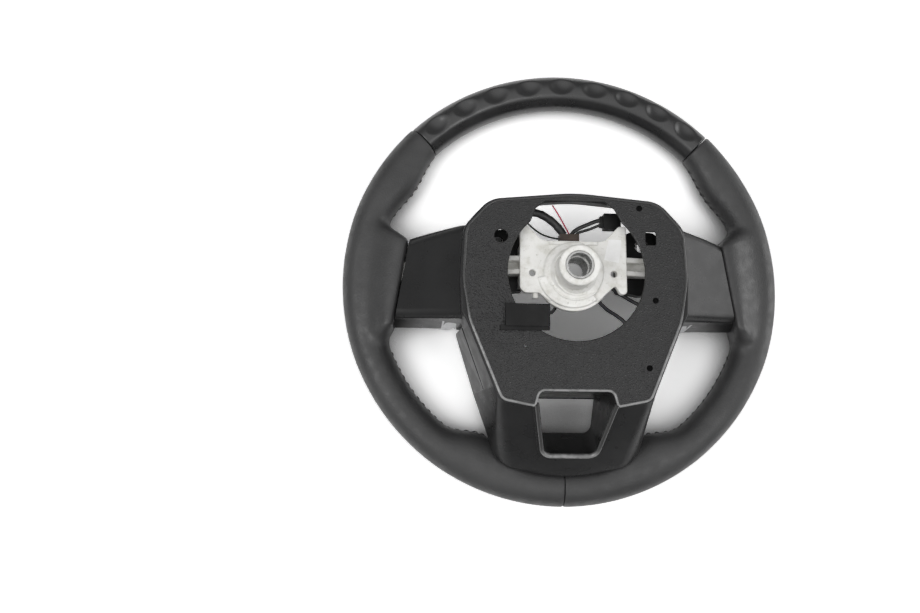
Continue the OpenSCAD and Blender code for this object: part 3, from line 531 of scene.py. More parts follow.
def root_line(r0):
    """Inner half of the section where the grip meets a side spoke."""
    edge, toe, low = 5.0, 2.6, RIM_Z + 5
    back = [
        mix((RIM_R, RIM_Z + GRIP_HALF_H), (r0 + edge, SEAM_Z), (t, smooth(0, 1, t))) for t in (0.25, 0.5, 0.75, 1.0)
    ]
    face = [
        (r0 + 1.2, SEAM_Z - 1.4),
        (r0, SEAM_Z - 5),
        (r0, SPOKE_FRONT - SEAM_GAP),
        (r0 - toe, SPOKE_FRONT - SEAM_GAP - 0.4),
        (r0 - toe, low),
    ]
    belly = [
        mix((RIM_R, RIM_Z - GRIP_HALF_H), (r0 + edge * 1.6, low - 1), (t, smooth(0, 1, t))) for t in (0.9, 0.45)
    ]
    return back + face + belly


GRIP_SIDES = 24
ROOT_LOW_EXTRA = 1.3
SEAM_DEPTH = 0.9
SUBSURF_SHRINK = (2 + math.cos(math.radians(360 / GRIP_SIDES))) / 3


def grip_ring(th, k):
    """A section of the grip, with the sewn seam let into its inner side."""
    inner, outer = grip_inner(th), RIM_R + GRIP_HALF_W
    middle, half = (inner + outer) / 2, (outer - inner) / 2
    slant = math.radians(np.clip(th, -13.5 - ROOT_LOW_EXTRA, 14.5))
    root = root_line(SEAM_X / (math.cos(slant) + SEAM_SLANT * math.sin(slant)) + SEAM_GAP / 2)
    reach = root_reach(th)
    grow = 1 + (1 / SUBSURF_SHRINK - 1) * (1 - reach)
    ring = []
    for j in range(GRIP_SIDES):
        phi = math.radians(j * 360 / GRIP_SIDES)
        oval = (middle + k * grow * half * math.cos(phi), RIM_Z + k * grow * GRIP_HALF_H * math.sin(phi))
        if GRIP_SIDES // 4 < j < GRIP_SIDES * 3 // 4:
            oval = mix(oval, root[j - GRIP_SIDES // 4 - 1], reach)
        ring.append(np.asarray(oval, float))
    j = GRIP_SIDES // 2
    sunk = ring[j] + np.array((SEAM_DEPTH * k * (1 - smooth(0, 0.4, reach)), 0))
    ring[j : j + 1] = [mix(ring[j - 1], ring[j], 0.8), sunk, mix(ring[j], ring[j + 1], 0.2)]
    c, s = math.cos(math.radians(th)), math.sin(math.radians(th))
    return [(p[0] * c, p[0] * s, p[1]) for p in ring]


TOP_END = 90 - UPPER_HALF_ANGLE - 0.05
LOW_END = -90 + 0.025
grip_angles = (
    [44.4, 42, 38, 34, 30, 26, 23, 21, 19.4, 18.2, 17.2, 16.2, 15.2, 14.2, 13.2]
    + [9, 4.5, 0, -4.5, -9, -12, -13, -14, -15, -16, -17.2, -18.6, -20.5]
    + [-24, -29, -34, -39, -44, -49]
    + [-52 - 3 * i for i in range(12)]
    + [-88.2]
)
grip_rings = [(TOP_END, 0.3), (TOP_END, 0.88), (TOP_END - 0.12, 0.965), (TOP_END - 0.5, 1.0)]
grip_rings += [(th, 1.0) for th in grip_angles]
grip_rings += [(LOW_END + 0.5, 1.0), (LOW_END + 0.1, 0.975), (LOW_END, 0.92), (LOW_END, 0.3)]


def leather_grip(side):
    rings = [grip_ring(th, k) for th, k in grip_rings]
    n, m = len(rings[0]), len(rings)
    points = np.array([p for r in rings for p in r])
    points[:, 0] *= side
    faces = grid_faces(m, n) + [tuple(range(n - 1, -1, -1)), tuple(range((m - 1) * n, m * n))]
    if side > 0:
        faces = flipped(faces)
    obj = mesh_piece(f"{SIDES[side]}_leather", points, faces, "grip_leather")
    subdivide(obj, 2)
    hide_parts(f"{SIDES[side]}_leather_grip")
    return obj


# Moulded upper grip: finger scallops, a crest inside them, a groove and the inner bead

SCALLOP_COUNT = 9
SCALLOP_PITCH = 9.6
SCALLOP_R = 18.0
SCALLOP_DEPTH = 3.4
SCALLOP_TILT = 80.0
SCALLOP_BLEND = 1.8


def upper_grip():
    steps, sides = 420, 120
    end_r = 1.1
    half = UPPER_HALF_ANGLE - 0.05
    arcs = np.linspace(-half, half, steps)
    close = np.radians(half) * RIM_R - np.abs(np.radians(arcs)) * RIM_R
    tucked = end_r - np.sqrt(np.maximum(0, end_r**2 - np.maximum(0, end_r - close) ** 2))
    phi = np.radians(np.arange(sides) * 360 / sides)
    deg = np.degrees(phi)
    dent = 0.5 * (smooth(110, 134, deg) - smooth(134, 160, deg))
    rings = []
    for arc, tuck in zip(arcs, tucked):
        a = math.radians(90 + arc)
        along = np.array((math.cos(a), math.sin(a), 0))
        centre = along * RIM_R + np.array((0, 0, RIM_Z))
        rays = np.outer(np.cos(phi), along) + np.outer(np.sin(phi), (0, 0, 1))
        reach = UPPER_R - dent
        for i in range(SCALLOP_COUNT):
            b = math.radians(90 + (i - (SCALLOP_COUNT - 1) / 2) * SCALLOP_PITCH)
            if abs(a - b) > math.radians(SCALLOP_PITCH):
                continue
            tilt = math.radians(SCALLOP_TILT)
            out = np.array((math.cos(b), math.sin(b), 0))
            ball = out * RIM_R + np.array((0, 0, RIM_Z))
            tilted = out * math.cos(tilt) + np.array((0, 0, math.sin(tilt)))
            ball = ball + (UPPER_R + SCALLOP_R - SCALLOP_DEPTH) * tilted
            near = rays @ (ball - centre)
            inside = SCALLOP_R**2 - (np.sum((ball - centre) ** 2) - near**2)
            cut = np.where((inside > 0) & (near > 0), near - np.sqrt(np.maximum(inside, 0)), 1e3)
            soft = np.clip(0.5 + 0.5 * (cut - reach) / SCALLOP_BLEND, 0, 1)
            if np.any(cut < 100):
                reach = reach * soft + cut * (1 - soft) - SCALLOP_BLEND * soft * (1 - soft)
        rings.append(centre + rays * (reach - tuck)[:, None])
    points = np.concatenate(rings)
    faces = grid_faces(steps, sides)
    faces += [tuple(range(sides - 1, -1, -1)), tuple(range((steps - 1) * sides, steps * sides))]
    obj = mesh_piece("upper_moulding", points, faces, "moulded_grip", crisp=60)
    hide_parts("upper_grip")


# Outlines with rounded corners. A corner is (x, y, radius, steps, depth where the wall ends).


def unit(v):
    return v / np.linalg.norm(v)


def corner_points(a, b, c, fine):
    """Rows of x, y, outward normal x and y, and wall end, for one rounded corner."""
    p = np.array(b[:2], float)
    u, v = unit(np.array(a[:2], float) - p), unit(np.array(c[:2], float) - p)
    half = math.acos(np.clip(u @ v, -1, 1)) / 2
    side = -1 if u[1] * v[0] - u[0] * v[1] < 0 else 1
    centre = p + unit(u + v) * b[2] / math.sin(half)
    start = p + u * b[2] / math.tan(half) - centre
    steps = b[3] * fine
    shares = [i / steps for i in range(steps + 1)] if steps else [0.5]
    turns = [math.atan2(start[1], start[0]) + (math.pi - 2 * half) * side * t for t in shares]
    return [
        (centre[0] + b[2] * math.cos(w), centre[1] + b[2] * math.sin(w), side * math.cos(w), side * math.sin(w), b[4])
        for w in turns
    ]


def outline(corners, fine):
    rows = []
    for i, corner in enumerate(corners):
        rows += corner_points(corners[i - 1], corner, corners[(i + 1) % len(corners)], fine)
    return np.array(rows)


def both_sides(low, half, high):
    return low + half + high + [(-c[0], *c[1:]) for c in reversed(half)]


def grown(rows, by):
    return rows[:, :2] + rows[:, 2:4] * by


# Loose solids, for building with


def solid(points, faces):
    """A loose mesh object in millimetres, for building with."""
    data = bpy.data.meshes.new("solid")
    data.from_pydata(np.asarray(points, float).tolist(), [], faces)
    obj = bpy.data.objects.new("solid", data)
    scene.collection.objects.link(obj)
    return obj


def cleaned(obj):
    """Merges the points where rows of a loose solid run into each other."""
    made = bmesh.new()
    made.from_mesh(obj.data)
    bmesh.ops.remove_doubles(made, verts=made.verts, dist=0.002)
    bmesh.ops.dissolve_degenerate(made, edges=made.edges, dist=0.001)
    made.to_mesh(obj.data)
    made.free()
    return obj


def combine(obj, other, how):
    """Union, difference or intersection of two loose solids. Uses both up."""
    tool = obj.modifiers.new("combine", "BOOLEAN")
    tool.operation = how
    tool.solver = "EXACT"
    tool.object = other
    graph = bpy.context.evaluated_depsgraph_get()
    data = bpy.data.meshes.new_from_object(obj.evaluated_get(graph))
    made = bpy.data.objects.new("solid", data)
    scene.collection.objects.link(made)
    for used in (obj, other):
        mesh = used.data
        bpy.data.objects.remove(used)
        bpy.data.meshes.remove(mesh)
    return made


def taken(obj):
    """Points and faces of a loose solid, which is removed."""
    points = np.array([v.co for v in obj.data.vertices])
    faces = [tuple(f.vertices) for f in obj.data.polygons]
    mesh = obj.data
    bpy.data.objects.remove(obj)
    bpy.data.meshes.remove(mesh)
    return points, faces


def skin(rings, closed=False):
    n, m = len(rings[0]), len(rings)
    faces = flipped(grid_faces(m, n, closed))
    if not closed:
        half = n // 2
        strips = [(i, i + 1, n - 2 - i, n - 1 - i) for i in range(half - 1)]
        faces += strips + [tuple((m - 1) * n + v for v in reversed(f)) for f in strips]
    return solid(np.concatenate(rings), [tuple(reversed(f)) for f in faces])


def extrusion(loop, low, high):
    """A prism along z from a counterclockwise loop."""
    n = len(loop)
    points = [(x, y, low) for x, y in loop] + [(x, y, high) for x, y in loop]
    faces = [tuple(range(n - 1, -1, -1)), tuple(range(n, 2 * n))]
    faces += [(i, (i + 1) % n, n + (i + 1) % n, n + i) for i in range(n)]
    return points, faces


def resampled(path, step):
    """Points along a path of straight lines, evenly spaced."""
    path = [np.asarray(p, float) for p in path]
    lengths = np.cumsum([0] + [np.linalg.norm(b - a) for a, b in zip(path, path[1:])])
    places = np.linspace(0, lengths[-1], max(2, int(round(lengths[-1] / step)) + 1))
    return [np.array([np.interp(d, lengths, [p[k] for p in path]) for k in range(3)]) for d in places]


def curved(points, steps=8):
    """A smooth curve through points."""
    pts = [np.asarray(p, float) for p in points]
    pts = [2 * pts[0] - pts[1], *pts, 2 * pts[-1] - pts[-2]]
    out = []
    for a, b, c, d in zip(pts, pts[1:], pts[2:], pts[3:]):
        for t in np.arange(steps) / steps:
            square, cube = 2 * a - 5 * b + 4 * c - d, 3 * b - a - 3 * c + d
            out.append(0.5 * (2 * b + (c - a) * t + square * t**2 + cube * t**3))
    return out + [pts[-2]]


def tube(path, radius, sides, closed=False):
    """Points and faces of a round tube, with closed ends unless it is a ring. Radius is a function of distance."""
    ahead = [unit(b - a) for a, b in zip(path, path[1:] + path[:1])]
    last = ahead[-1] if closed else ahead[-2]
    first = ahead[-1] if closed else ahead[0]
    turns = [unit(a + b) for a, b in zip(ahead, ahead[1:-1])]
    ahead = [unit(first + ahead[0]), *turns, unit(last + ahead[-1 if closed else -2])]
    side = unit(np.cross(ahead[0], (0.3, 0.2, 1.0)))
    points, distance = [], 0.0
    for k, (place, way) in enumerate(zip(path, ahead)):
        side = unit(side - way * (side @ way))
        up = np.cross(way, side)
        distance += np.linalg.norm(place - path[k - 1]) if k else 0.0
        for i in range(sides):
            a = 2 * math.pi * i / sides
            points.append(place + radius(distance) * (side * math.cos(a) + up * math.sin(a)))
    rows = len(path)
    faces = flipped(grid_faces(rows, sides, closed))
    if not closed:
        faces += [tuple(range(sides)), tuple(range(rows * sides - 1, (rows - 1) * sides - 1, -1))]
    return points, flipped(faces)


# Rear cover: the grained panel with its rolled edge

COVER_TOP = -20.0
COVER_LOW = -22.5
COVER_HALF_W = 91.4
COVER_TOP_Y = 61.3
TOP_CORNER_Y = COVER_TOP_Y - 5
TOP_MIDDLE_Y = COVER_TOP_Y + 1.3
COVER_LOW_Y = 105.4
WAIST_Y = -42.0
SHOULDER_Y = 33.0
OPENING_R = 55.5
NOTCH_Y = -98.3
U_TOP_HALF_W = 29.5
COVER_EDGE_R = 1.2
BEAD_R = 1.1
BEAD_SUNK = 0.65
SCREW_PLACES = ((52.4, 51.2), (64.475, -24.5), (58.63, -79.0))
SCREW_HOLE_R = 2.5
CATCH_HOLE = (-60.3, 26.5, 5.7)
PIN_HOLE = (-41.2, -62.5, 1.0)

cover_half = [
    (60.0, -COVER_LOW_Y, 9, 5, 0),
    (COVER_HALF_W - 5.4, WAIST_Y, 45, 5, 0),
    (COVER_HALF_W, -8, 70, 2, 0),
    (COVER_HALF_W - 2.2, SHOULDER_Y, 18, 5, 0),
    (COVER_HALF_W - 23, TOP_CORNER_Y, 22, 7, 0),
]
notch_half = [(U_TOP_HALF_W - 0.5, NOTCH_Y, 5, 4, 0), (U_TOP_HALF_W + 3, -COVER_LOW_Y - 5.5, 2.5, 3, 0)]


def circle(x, y, r, steps=40):
    return [(x + r * math.cos(a), y + r * math.sin(a)) for a in np.linspace(0, 2 * math.pi, steps, endpoint=False)]


def column_opening():
    """Round, with a flat top edge whose ends are cut off at a slant."""
    cx, cy, flat_half, flat_y = 0.8, -2.3, 24.0, 56.0
    arc = [
        (cx + OPENING_R * math.cos(a), cy + OPENING_R * math.sin(a))
        for a in np.radians(np.linspace(132, 408, 90))
    ]
    return arc + [(flat_half + 8, 50), (flat_half, flat_y), (-flat_half, flat_y), (-flat_half - 8, 50)]


def flat_plate(loops, low, high, edge_r):
    """Points and faces of a plate from loops of points, with a rounded edge. The first loop is the outline."""
    curve = bpy.data.curves.new("plate", "CURVE")
    curve.dimensions = "2D"
    curve.fill_mode = "BOTH"
    curve.bevel_depth = edge_r * MM
    curve.bevel_resolution = 3
    curve.offset = -edge_r * MM
    curve.extrude = ((high - low) / 2 - edge_r) * MM
    for loop in loops:
        spline = curve.splines.new("POLY")
        spline.points.add(len(loop) - 1)
        for point, (x, y) in zip(spline.points, loop):
            point.co = (x * MM, y * MM, 0, 1)
        spline.use_cyclic_u = True
    holder = bpy.data.objects.new("plate", curve)
    scene.collection.objects.link(holder)
    graph = bpy.context.evaluated_depsgraph_get()
    data = bpy.data.meshes.new_from_object(holder.evaluated_get(graph))
    bpy.data.objects.remove(holder)
    points = np.array([v.co for v in data.vertices]) / MM + np.array((0, 0, (low + high) / 2))
    faces = [tuple(f.vertices) for f in data.polygons]
    bpy.data.meshes.remove(data)
    return points, faces


def round_bar(x, y, r, steps=28):
    """An upright loose cylinder through the panel."""
    return solid(*extrusion(circle(x, y, r, steps), COVER_LOW - 2, COVER_TOP + 2))


def rear_cover():
    edge = outline(both_sides([], notch_half + cover_half, [(0, TOP_MIDDLE_Y, 150, 4, 0)]), 3)
    points, faces = flat_plate([grown(edge, 0), column_opening()], COVER_LOW, COVER_TOP, COVER_EDGE_R)
    panel = solid(points, faces)
    panel = combine(panel, round_bar(*CATCH_HOLE, 48), "DIFFERENCE")
    corners = [(57.0, 20.8, 1.2, 2, 0), (66.0, 20.8, 1.2, 2, 0), (66.0, 32.2, 1.2, 2, 0), (57.0, 32.2, 1.2, 2, 0)]
    slot = extrusion(outline(corners, 2)[:, :2], COVER_LOW - 2, COVER_TOP + 2)
    panel = combine(panel, solid(*slot), "DIFFERENCE")
    for x, y in SCREW_PLACES:
        panel = combine(panel, round_bar(x, y, SCREW_HOLE_R), "DIFFERENCE")
    panel = combine(panel, round_bar(*PIN_HOLE, 16), "DIFFERENCE")
    obj = mesh_piece("rear_panel", *taken(panel), "cover_plastic", crisp=35, even=True)
    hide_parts("rear_cover")
    inset = grown(edge, -BEAD_R)
    loop = resampled([np.array((x, y, COVER_TOP - BEAD_SUNK)) for x, y in [*inset, inset[0]]], 1.5)[:-1]
    obj = mesh_piece("panel_bead", *tube(loop, lambda t: BEAD_R, 12, closed=True), "cover_plastic", crisp=60)
    # The bead's colour is lighter towards the front: painted highlight.
    obj.data.materials[0] = highlight_edge_paint("panel_edge_painted_highlight", 0.02, 0.26, -20, -60)


# Rear shell with the backs of the spokes, and the lower spoke's opening

SHELL_MARGIN = 1.5
SHELL_WALL = 2.6
SHELL_TOP = COVER_LOW - SHELL_MARGIN
SHELL_REF = RIM_Z + 14
TRIM_TOP = RIM_Z + 5.5
DEEP_END = TRIM_TOP + 0.3
SIDE_END = -57 + 0.3
SPOKE_END = -43.0
SHELL_LOW_Y = -170.5
TOP_END_Z = -48.0
FINE = 3


def along(a, b, y, end):
    """A plain corner on the line from a to b, at height y."""
    t = (y - a[1]) / (b[1] - a[1])
    return (a[0] + (b[0] - a[0]) * t, y, 0.5, 0, end)


def shell_half(low, waist, grow, y):
    return [
        low,
        along(low, waist, y - 1.2, DEEP_END),
        along(low, waist, y, SIDE_END),
        waist,
        (COVER_HALF_W + grow * 0.4 - 1, -35, 4, 0, SPOKE_END),
        (COVER_HALF_W + grow, -8, 70, 2, SPOKE_END),
        (COVER_HALF_W - 2.2 + grow, SHOULDER_Y, 18, 5, SPOKE_END),
        (COVER_HALF_W - 11 + grow, SHOULDER_Y + 10.4, 0.5, 0, TOP_END_Z),
        (COVER_HALF_W - 23 + grow / 2, TOP_CORNER_Y + grow, 22, 7, TOP_END_Z),
    ]


shell_upper = outline(
    both_sides(
        [(0, -COVER_LOW_Y - 7, 120, 4, 0)],
        shell_half((60, -COVER_LOW_Y, 9, 6, 0), (COVER_HALF_W - 5.4, WAIST_Y, 45, 5, SIDE_END), 0, -93),
        [(0, TOP_MIDDLE_Y, 150, 4, TOP_END_Z)],
    ),
    FINE,
)
shell_lower = outline(
    both_sides(
        [(0, SHELL_LOW_Y, 120, 4, 0)],
        shell_half((57.0, SHELL_LOW_Y + 11.5, 23, 6, 0), (COVER_HALF_W - 0.6, WAIST_Y + 1, 45, 5, SIDE_END), 1.5, -95),
        [(0, TOP_MIDDLE_Y + 1.5, 150, 4, TOP_END_Z)],
    ),
    FINE,
)


def shell_point(i, z, inset):
    s = (z - SHELL_TOP) / (SHELL_REF - SHELL_TOP)
    normal = unit(mix(shell_upper[i, 2:4], shell_lower[i, 2:4], min(1, max(0, s))))
    q = mix(shell_upper[i, :2], shell_lower[i, :2], s) + normal * (SHELL_MARGIN - inset)
    return np.array((q[0], q[1], z))


def leather_top(x, y):
    d = math.hypot(x, y)
    th = math.degrees(math.asin(y / d))
    inner, outer = grip_inner(th), RIM_R + GRIP_HALF_W
    t = (d - (inner + outer) / 2) / ((outer - inner) / 2)
    return RIM_Z + GRIP_HALF_H * math.sqrt(1 - t * t) if abs(t) < 1 else -1000


def clear_z(i, z):
    p = shell_point(i, z, -1.5)
    return max(z, leather_top(p[0], p[1]) + SEAM_GAP)


def wall_end(i):
    own = DEEP_END if shell_upper[i, 4] == 0 else shell_upper[i, 4]
    if own > -60:
        return own
    z1 = clear_z(i, own)
    z2 = clear_z(i, (own + z1) / 2)
    return max(z1, z2, clear_z(i, (z1 + z2) / 2))


WALL_STEP = 4.0
ROLL = ((4.2, 0.1), (3.0, 0.4), (1.9, 0.9), (0.9, 1.7), (0.2, 2.6))


def shell_body():
    """Outer wall from its rolled lower edge up, over the rim to the panel's ledge, and down the inside."""
    count = len(shell_upper)
    ends = [wall_end(i) for i in range(count)]

    def wall(z, inset):
        lowest = [end + 2 * ROLL[0][0] for end in ends]
        return np.array([shell_point(i, z if z > low + 1.8 else low, inset) for i, low in enumerate(lowest)])

    def rolled(rise, inset):
        return np.array([shell_point(i, ends[i] + rise, inset) for i in range(count)])

    def top(inset, z):
        ring = np.array([shell_point(i, SHELL_TOP, inset) for i in range(count)])
        ring[:, 2] = z
        return ring

    levels = np.arange(SHELL_TOP - WALL_STEP, DEEP_END, -WALL_STEP)
    rings = [rolled(rise, inset) for rise, inset in reversed(ROLL)]
    rings += [wall(z, 0) for z in reversed(levels)]
    rings += [top(0, SHELL_TOP), top(0.2, SHELL_TOP + 0.7), top(0.7, COVER_LOW - 0.25), top(SHELL_MARGIN, COVER_LOW)]
    rings += [top(7, COVER_LOW), top(7, COVER_LOW - 2.5), top(SHELL_WALL + 0.8, COVER_LOW - 3)]
    rings += [wall(z, SHELL_WALL + 1) for z in levels] + [rolled(0.2, SHELL_WALL + 1)]
    return cleaned(skin(rings, closed=True))


# Stations of a spoke's back: x, low y, high y, height of the back, slant, y of the low wall's foot
SPOKE_EDGE_R = 8.0
SPOKE_RISE = -35.5
spoke_stations = [
    (78.4, -43.6, 39.8, -29.5, 0, -43.8),
    (92.4, -38.4, 39.0, SPOKE_RISE, 0, -41.3),
    (104.0, -37.4, 37.6, SPOKE_RISE + 0.27 * (SEAM_Z - SPOKE_RISE), 0, -40.6),
    (118.0, -36.2, 36.0, SPOKE_RISE + 0.57 * (SEAM_Z - SPOKE_RISE), 0.04, -40.4),
    (130.0, -35.4, 34.6, SPOKE_RISE + 0.83 * (SEAM_Z - SPOKE_RISE), 0.1, -40.4),
    (SEAM_X - SEAM_GAP / 2, -34.4, 33.5, SEAM_Z, SEAM_SLANT, -40.4),
]
# Outline of the arched cut-out in a spoke's low wall, beside the panel, as x and z
ARCH_CUT = (
    (92.0, -90.0), (105.4, -90.0), (104.6, -82.0), (102.0, -66.0), (100.2, -62.5), (95.0, -62.0), (93.2, -64.0),
)


def arch(low, high, top, foot, inset):
    """Half of a spoke's section: up the high wall, over the back and down the leaning low wall."""
    steps, rows = 12, 5
    edge = SPOKE_EDGE_R - inset
    turns = np.linspace(0, math.pi / 2, steps)
    level = top - SPOKE_EDGE_R
    high_arc = [(high - SPOKE_EDGE_R + edge * math.cos(a), level + edge * math.sin(a)) for a in turns]
    low_arc = [(low + SPOKE_EDGE_R - edge * math.sin(a), level + edge * math.cos(a)) for a in turns]
    shares = [k / rows for k in range(1, rows + 1)]
    high_wall = [(high - inset, mix(level, SPOKE_FRONT, t)) for t in reversed(shares)]
    low_wall = [(mix(low, foot, t) + inset, mix(level, SPOKE_FRONT, t)) for t in shares]
    return high_wall + high_arc + low_arc + low_wall


def spoke_back(side):
    fine = []
    for a, b in zip(spoke_stations, spoke_stations[1:]):
        fine += [mix(a, b, t) for t in (0, 0.5)]
    fine.append(np.array(spoke_stations[-1], float))
    rings = []
    for x, low, high, top, slant, foot in fine:
        loop = arch(low, high, top, foot, 0) + arch(low, high, top, foot, SHELL_WALL)[::-1]
        rings.append(np.array([(side * (x - slant * y), y, z) for y, z in loop]))
    spoke = skin(rings if side > 0 else rings[::-1])
    points, faces = extrusion(ARCH_CUT, 30, 48)
    points = [(side * p[0], -p[2], p[1]) for p in points]
    return combine(spoke, solid(points, faces if side > 0 else flipped(faces)), "DIFFERENCE")


U_LEAN = math.radians(32)
U_LEN = 64.0
U_HEAD = 90.0
U_LOW_HALF_W = 22.8
U_LIP = 0.8


def u_loop(grow):
    spread = (U_TOP_HALF_W - U_LOW_HALF_W) / U_LEN * U_HEAD
    corners = [(-U_LOW_HALF_W, 0, 9.5, 5, 0), (U_LOW_HALF_W, 0, 9.5, 5, 0)]
    corners += [(U_TOP_HALF_W + spread, U_HEAD, 5, 1, 0), (-U_TOP_HALF_W - spread, U_HEAD, 5, 1, 0)]
    return grown(outline(corners, 3), grow)


def u_place(x, y, z):
    """From the tilted prism's own axes to the part's frame."""
    y = y - U_LEN
    c, s = math.cos(U_LEAN), math.sin(U_LEAN)
    return (x, NOTCH_Y + c * y - s * z, COVER_TOP + s * y + c * z)


def u_prism(grow):
    points, faces = extrusion(u_loop(grow), -70, 70)
    prism = solid([u_place(*p) for p in points], faces)
    box = extrusion([(-60, NOTCH_Y - 100), (60, NOTCH_Y - 100), (60, NOTCH_Y + grow), (-60, NOTCH_Y + grow)], -150, 50)
    return combine(prism, solid(*box), "INTERSECT")


def under_slope(lift, floor_z):
    loop = [
        (NOTCH_Y + 6, floor_z), (NOTCH_Y + 6, COVER_LOW - 0.5), (-COVER_LOW_Y - 6, COVER_LOW - 0.5),
        (-COVER_LOW_Y - 6, SHELL_TOP + lift + 0.2), (SHELL_LOW_Y - 1, SHELL_REF + lift), (SHELL_LOW_Y - 1, floor_z),
    ]
    points, faces = extrusion(loop, -50, 50)
    return solid([(p[2], p[0], p[1]) for p in points], faces)


# Where the screws sit, and how far each one's rib reaches to the wall
SCREW_BOSSES = tuple((*place, reach) for place, reach in zip(SCREW_PLACES, (60.4, 89.5, 69.1)))


def rear_shell():
    body = shell_body()
    for side in (1, -1):
        body = combine(body, spoke_back(side), "UNION")
    body = combine(body, combine(u_prism(SHELL_WALL), under_slope(U_LIP, DEEP_END), "INTERSECT"), "UNION")
    for x, y, reach in SCREW_BOSSES:
        body = combine(body, solid(*extrusion(circle(x, y, 4.0, 32), COVER_LOW - 9, COVER_LOW)), "UNION")
        rib = [(x, y - 1.25), (reach, y - 1.25), (reach, y + 1.25), (x, y + 1.25)]
        body = combine(body, solid(*extrusion(rib, COVER_LOW - 6, COVER_LOW - 0.1)), "UNION")
    body = combine(body, u_prism(0), "DIFFERENCE")
    for x, y, _ in SCREW_BOSSES:
        body = combine(body, solid(*extrusion(circle(x, y, 1.2, 20), COVER_LOW - 10, COVER_TOP)), "DIFFERENCE")
    points, faces = taken(body)
    obj = mesh_piece("shell_moulding", points, faces, "shell_plastic", crisp=35, even=True)
    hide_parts("rear_shell")


LIP_R = 2.0


def slope_z(y):
    """Height of the lower spoke's back."""
    top, low = (-COVER_LOW_Y - 6, SHELL_TOP + 0.2), (SHELL_LOW_Y - 1, SHELL_REF)
    return top[1] + (y - top[0]) * (low[1] - top[1]) / (low[0] - top[0])


def u_lip():
    """Rolled lip round the lower spoke's opening, from the panel's notch round its foot."""
    loop = u_loop(-LIP_R * 0.35)
    path = []
    for x, y in loop:
        low, high = -70.0, 70.0
        for _ in range(40):
            z = (low + high) / 2
            place = u_place(x, y, z)
            low, high = (z, high) if place[2] < slope_z(place[1]) + U_LIP - 0.5 else (low, z)
        path.append(np.array(u_place(x, y, z)))
    start = max(range(len(path)), key=lambda i: path[i][1] if path[i][0] < 0 else -1e9)
    path = path[start:] + path[:start]
    kept = [p for p in resampled(path + path[:1], 1.5) if p[1] < NOTCH_Y - 9.5]
    middle = max(range(1, len(kept)), key=lambda i: np.linalg.norm(kept[i] - kept[i - 1]))
    if np.linalg.norm(kept[middle] - kept[middle - 1]) > 20:
        kept = kept[middle:] + kept[:middle]
    points, faces = tube(kept, lambda t: LIP_R, 14)
    obj = mesh_piece("opening_lip", points, faces, "shell_plastic", crisp=60)
    # The lip's colour is lighter towards its foot: painted highlight.
    obj.data.materials[0] = highlight_edge_paint("opening_edge_painted_highlight", 0.04, 0.38, -138, -156)


def bezel_tab(side):
    """The bezel's light tab, seen in the cut-out of the spoke's low wall."""
    low, high = (-88.0, -40.6), (-60.0, -38.2)
    loop = [(low[1], low[0]), (low[1] + 1.4, low[0]), (high[1] + 1.4, high[0]), (high[1], high[0])]
    points, faces = extrusion(loop, 92.6, 105.0)
    points = [(side * p[2], p[0], p[1]) for p in points]
    mesh_piece(f"{SIDES[side]}_bezel_tab", points, faces if side > 0 else flipped(faces), "bezel_silver", crisp=35)


# Harness. The routes are those of the part's source.

LEADS = {
    "left_harness_sleeve": ("lead_black", 3.5, ((-6, 33, -43), (-9, 37, -42.5), (-14, 42, -41), (-20, 46, -39),
        (-27, 49, -37), (-34, 50, -36), (-41, 50, -35.5), (-48, 49, -35.5), (-55, 47, -36))),
    "right_harness_lead": ("lead_black", 1.7, ((0, 33, -43), (3, 36.5, -43), (8, 39.5, -42.5), (15, 42.5, -42),
        (21, 45, -42), (26.8, 46.5, -42))),
    "right_thin_lead": ("lead_black", 1.2, ((4, 33, -43), (6, 35, -43), (11, 36.8, -42.8), (17, 38.8, -42.6),
        (22, 41, -42.3), (26.8, 42.4, -42))),
    "red_wire": ("lead_red", 0.6, ((-2, 32, -39), (-3.5, 35, -38), (-6, 38.5, -36), (-8.5, 42, -33.5),
        (-11, 45.5, -31.5), (-14, 50, -30.5), (-17, 55, -31))),
    "thin_wire": ("lead_black", 0.8, ((-10.4, 30, -44), (-14, 30.4, -44), (-19, 31.6, -44), (-25, 34, -44),
        (-31, 38, -43.5), (-37, 43, -42), (-43, 48.5, -40))),
    "lower_lead": ("lead_black", 1.6, ((13, -11, -41.8), (17, -15, -42.2), (22, -21, -44.5), (30, -28, -47),
        (38, -33, -47.5), (44, -38, -46.5), (48, -44, -45), (51, -51, -43))),
    "lower_side_lead": ("lead_black", 1.6, ((34, -11, -44), (39, -14.5, -45), (45, -18, -45), (52, -22, -44.5),
        (59, -26, -43), (66, -30, -41.5))),
    "clip_lead": ("lead_black", 1.5, ((-25, -35, -26.5), (-21.5, -34.5, -28.5), (-18.5, -33.5, -33),
        (-16.5, -32, -38), (-14.5, -29.5, -42), (-11.5, -25.5, -44.5), (-9, -20.5, -45))),
}
TAPE_PITCH = 9.0


def taped(radius):
    """The radius of a sleeve wound with tape, a little thicker at each turn's edge."""
    return lambda t: radius - 0.35 + 0.35 * (t / TAPE_PITCH % 1.0)


def harness():
    for name, (slot, radius, route) in LEADS.items():
        path = resampled(curved(route), 0.8)
        shape = taped(radius) if name == "left_harness_sleeve" else lambda t, r=radius: r
        points, faces = tube(path, shape, 20)
        obj = mesh_piece(name + "_tube", points, faces, slot, crisp=60)
        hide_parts(name)


# Stitches along the inner side of the leather

STITCH_PITCH = 6.9
STITCH_SPREAD = 9.0
THREAD_R = 0.5


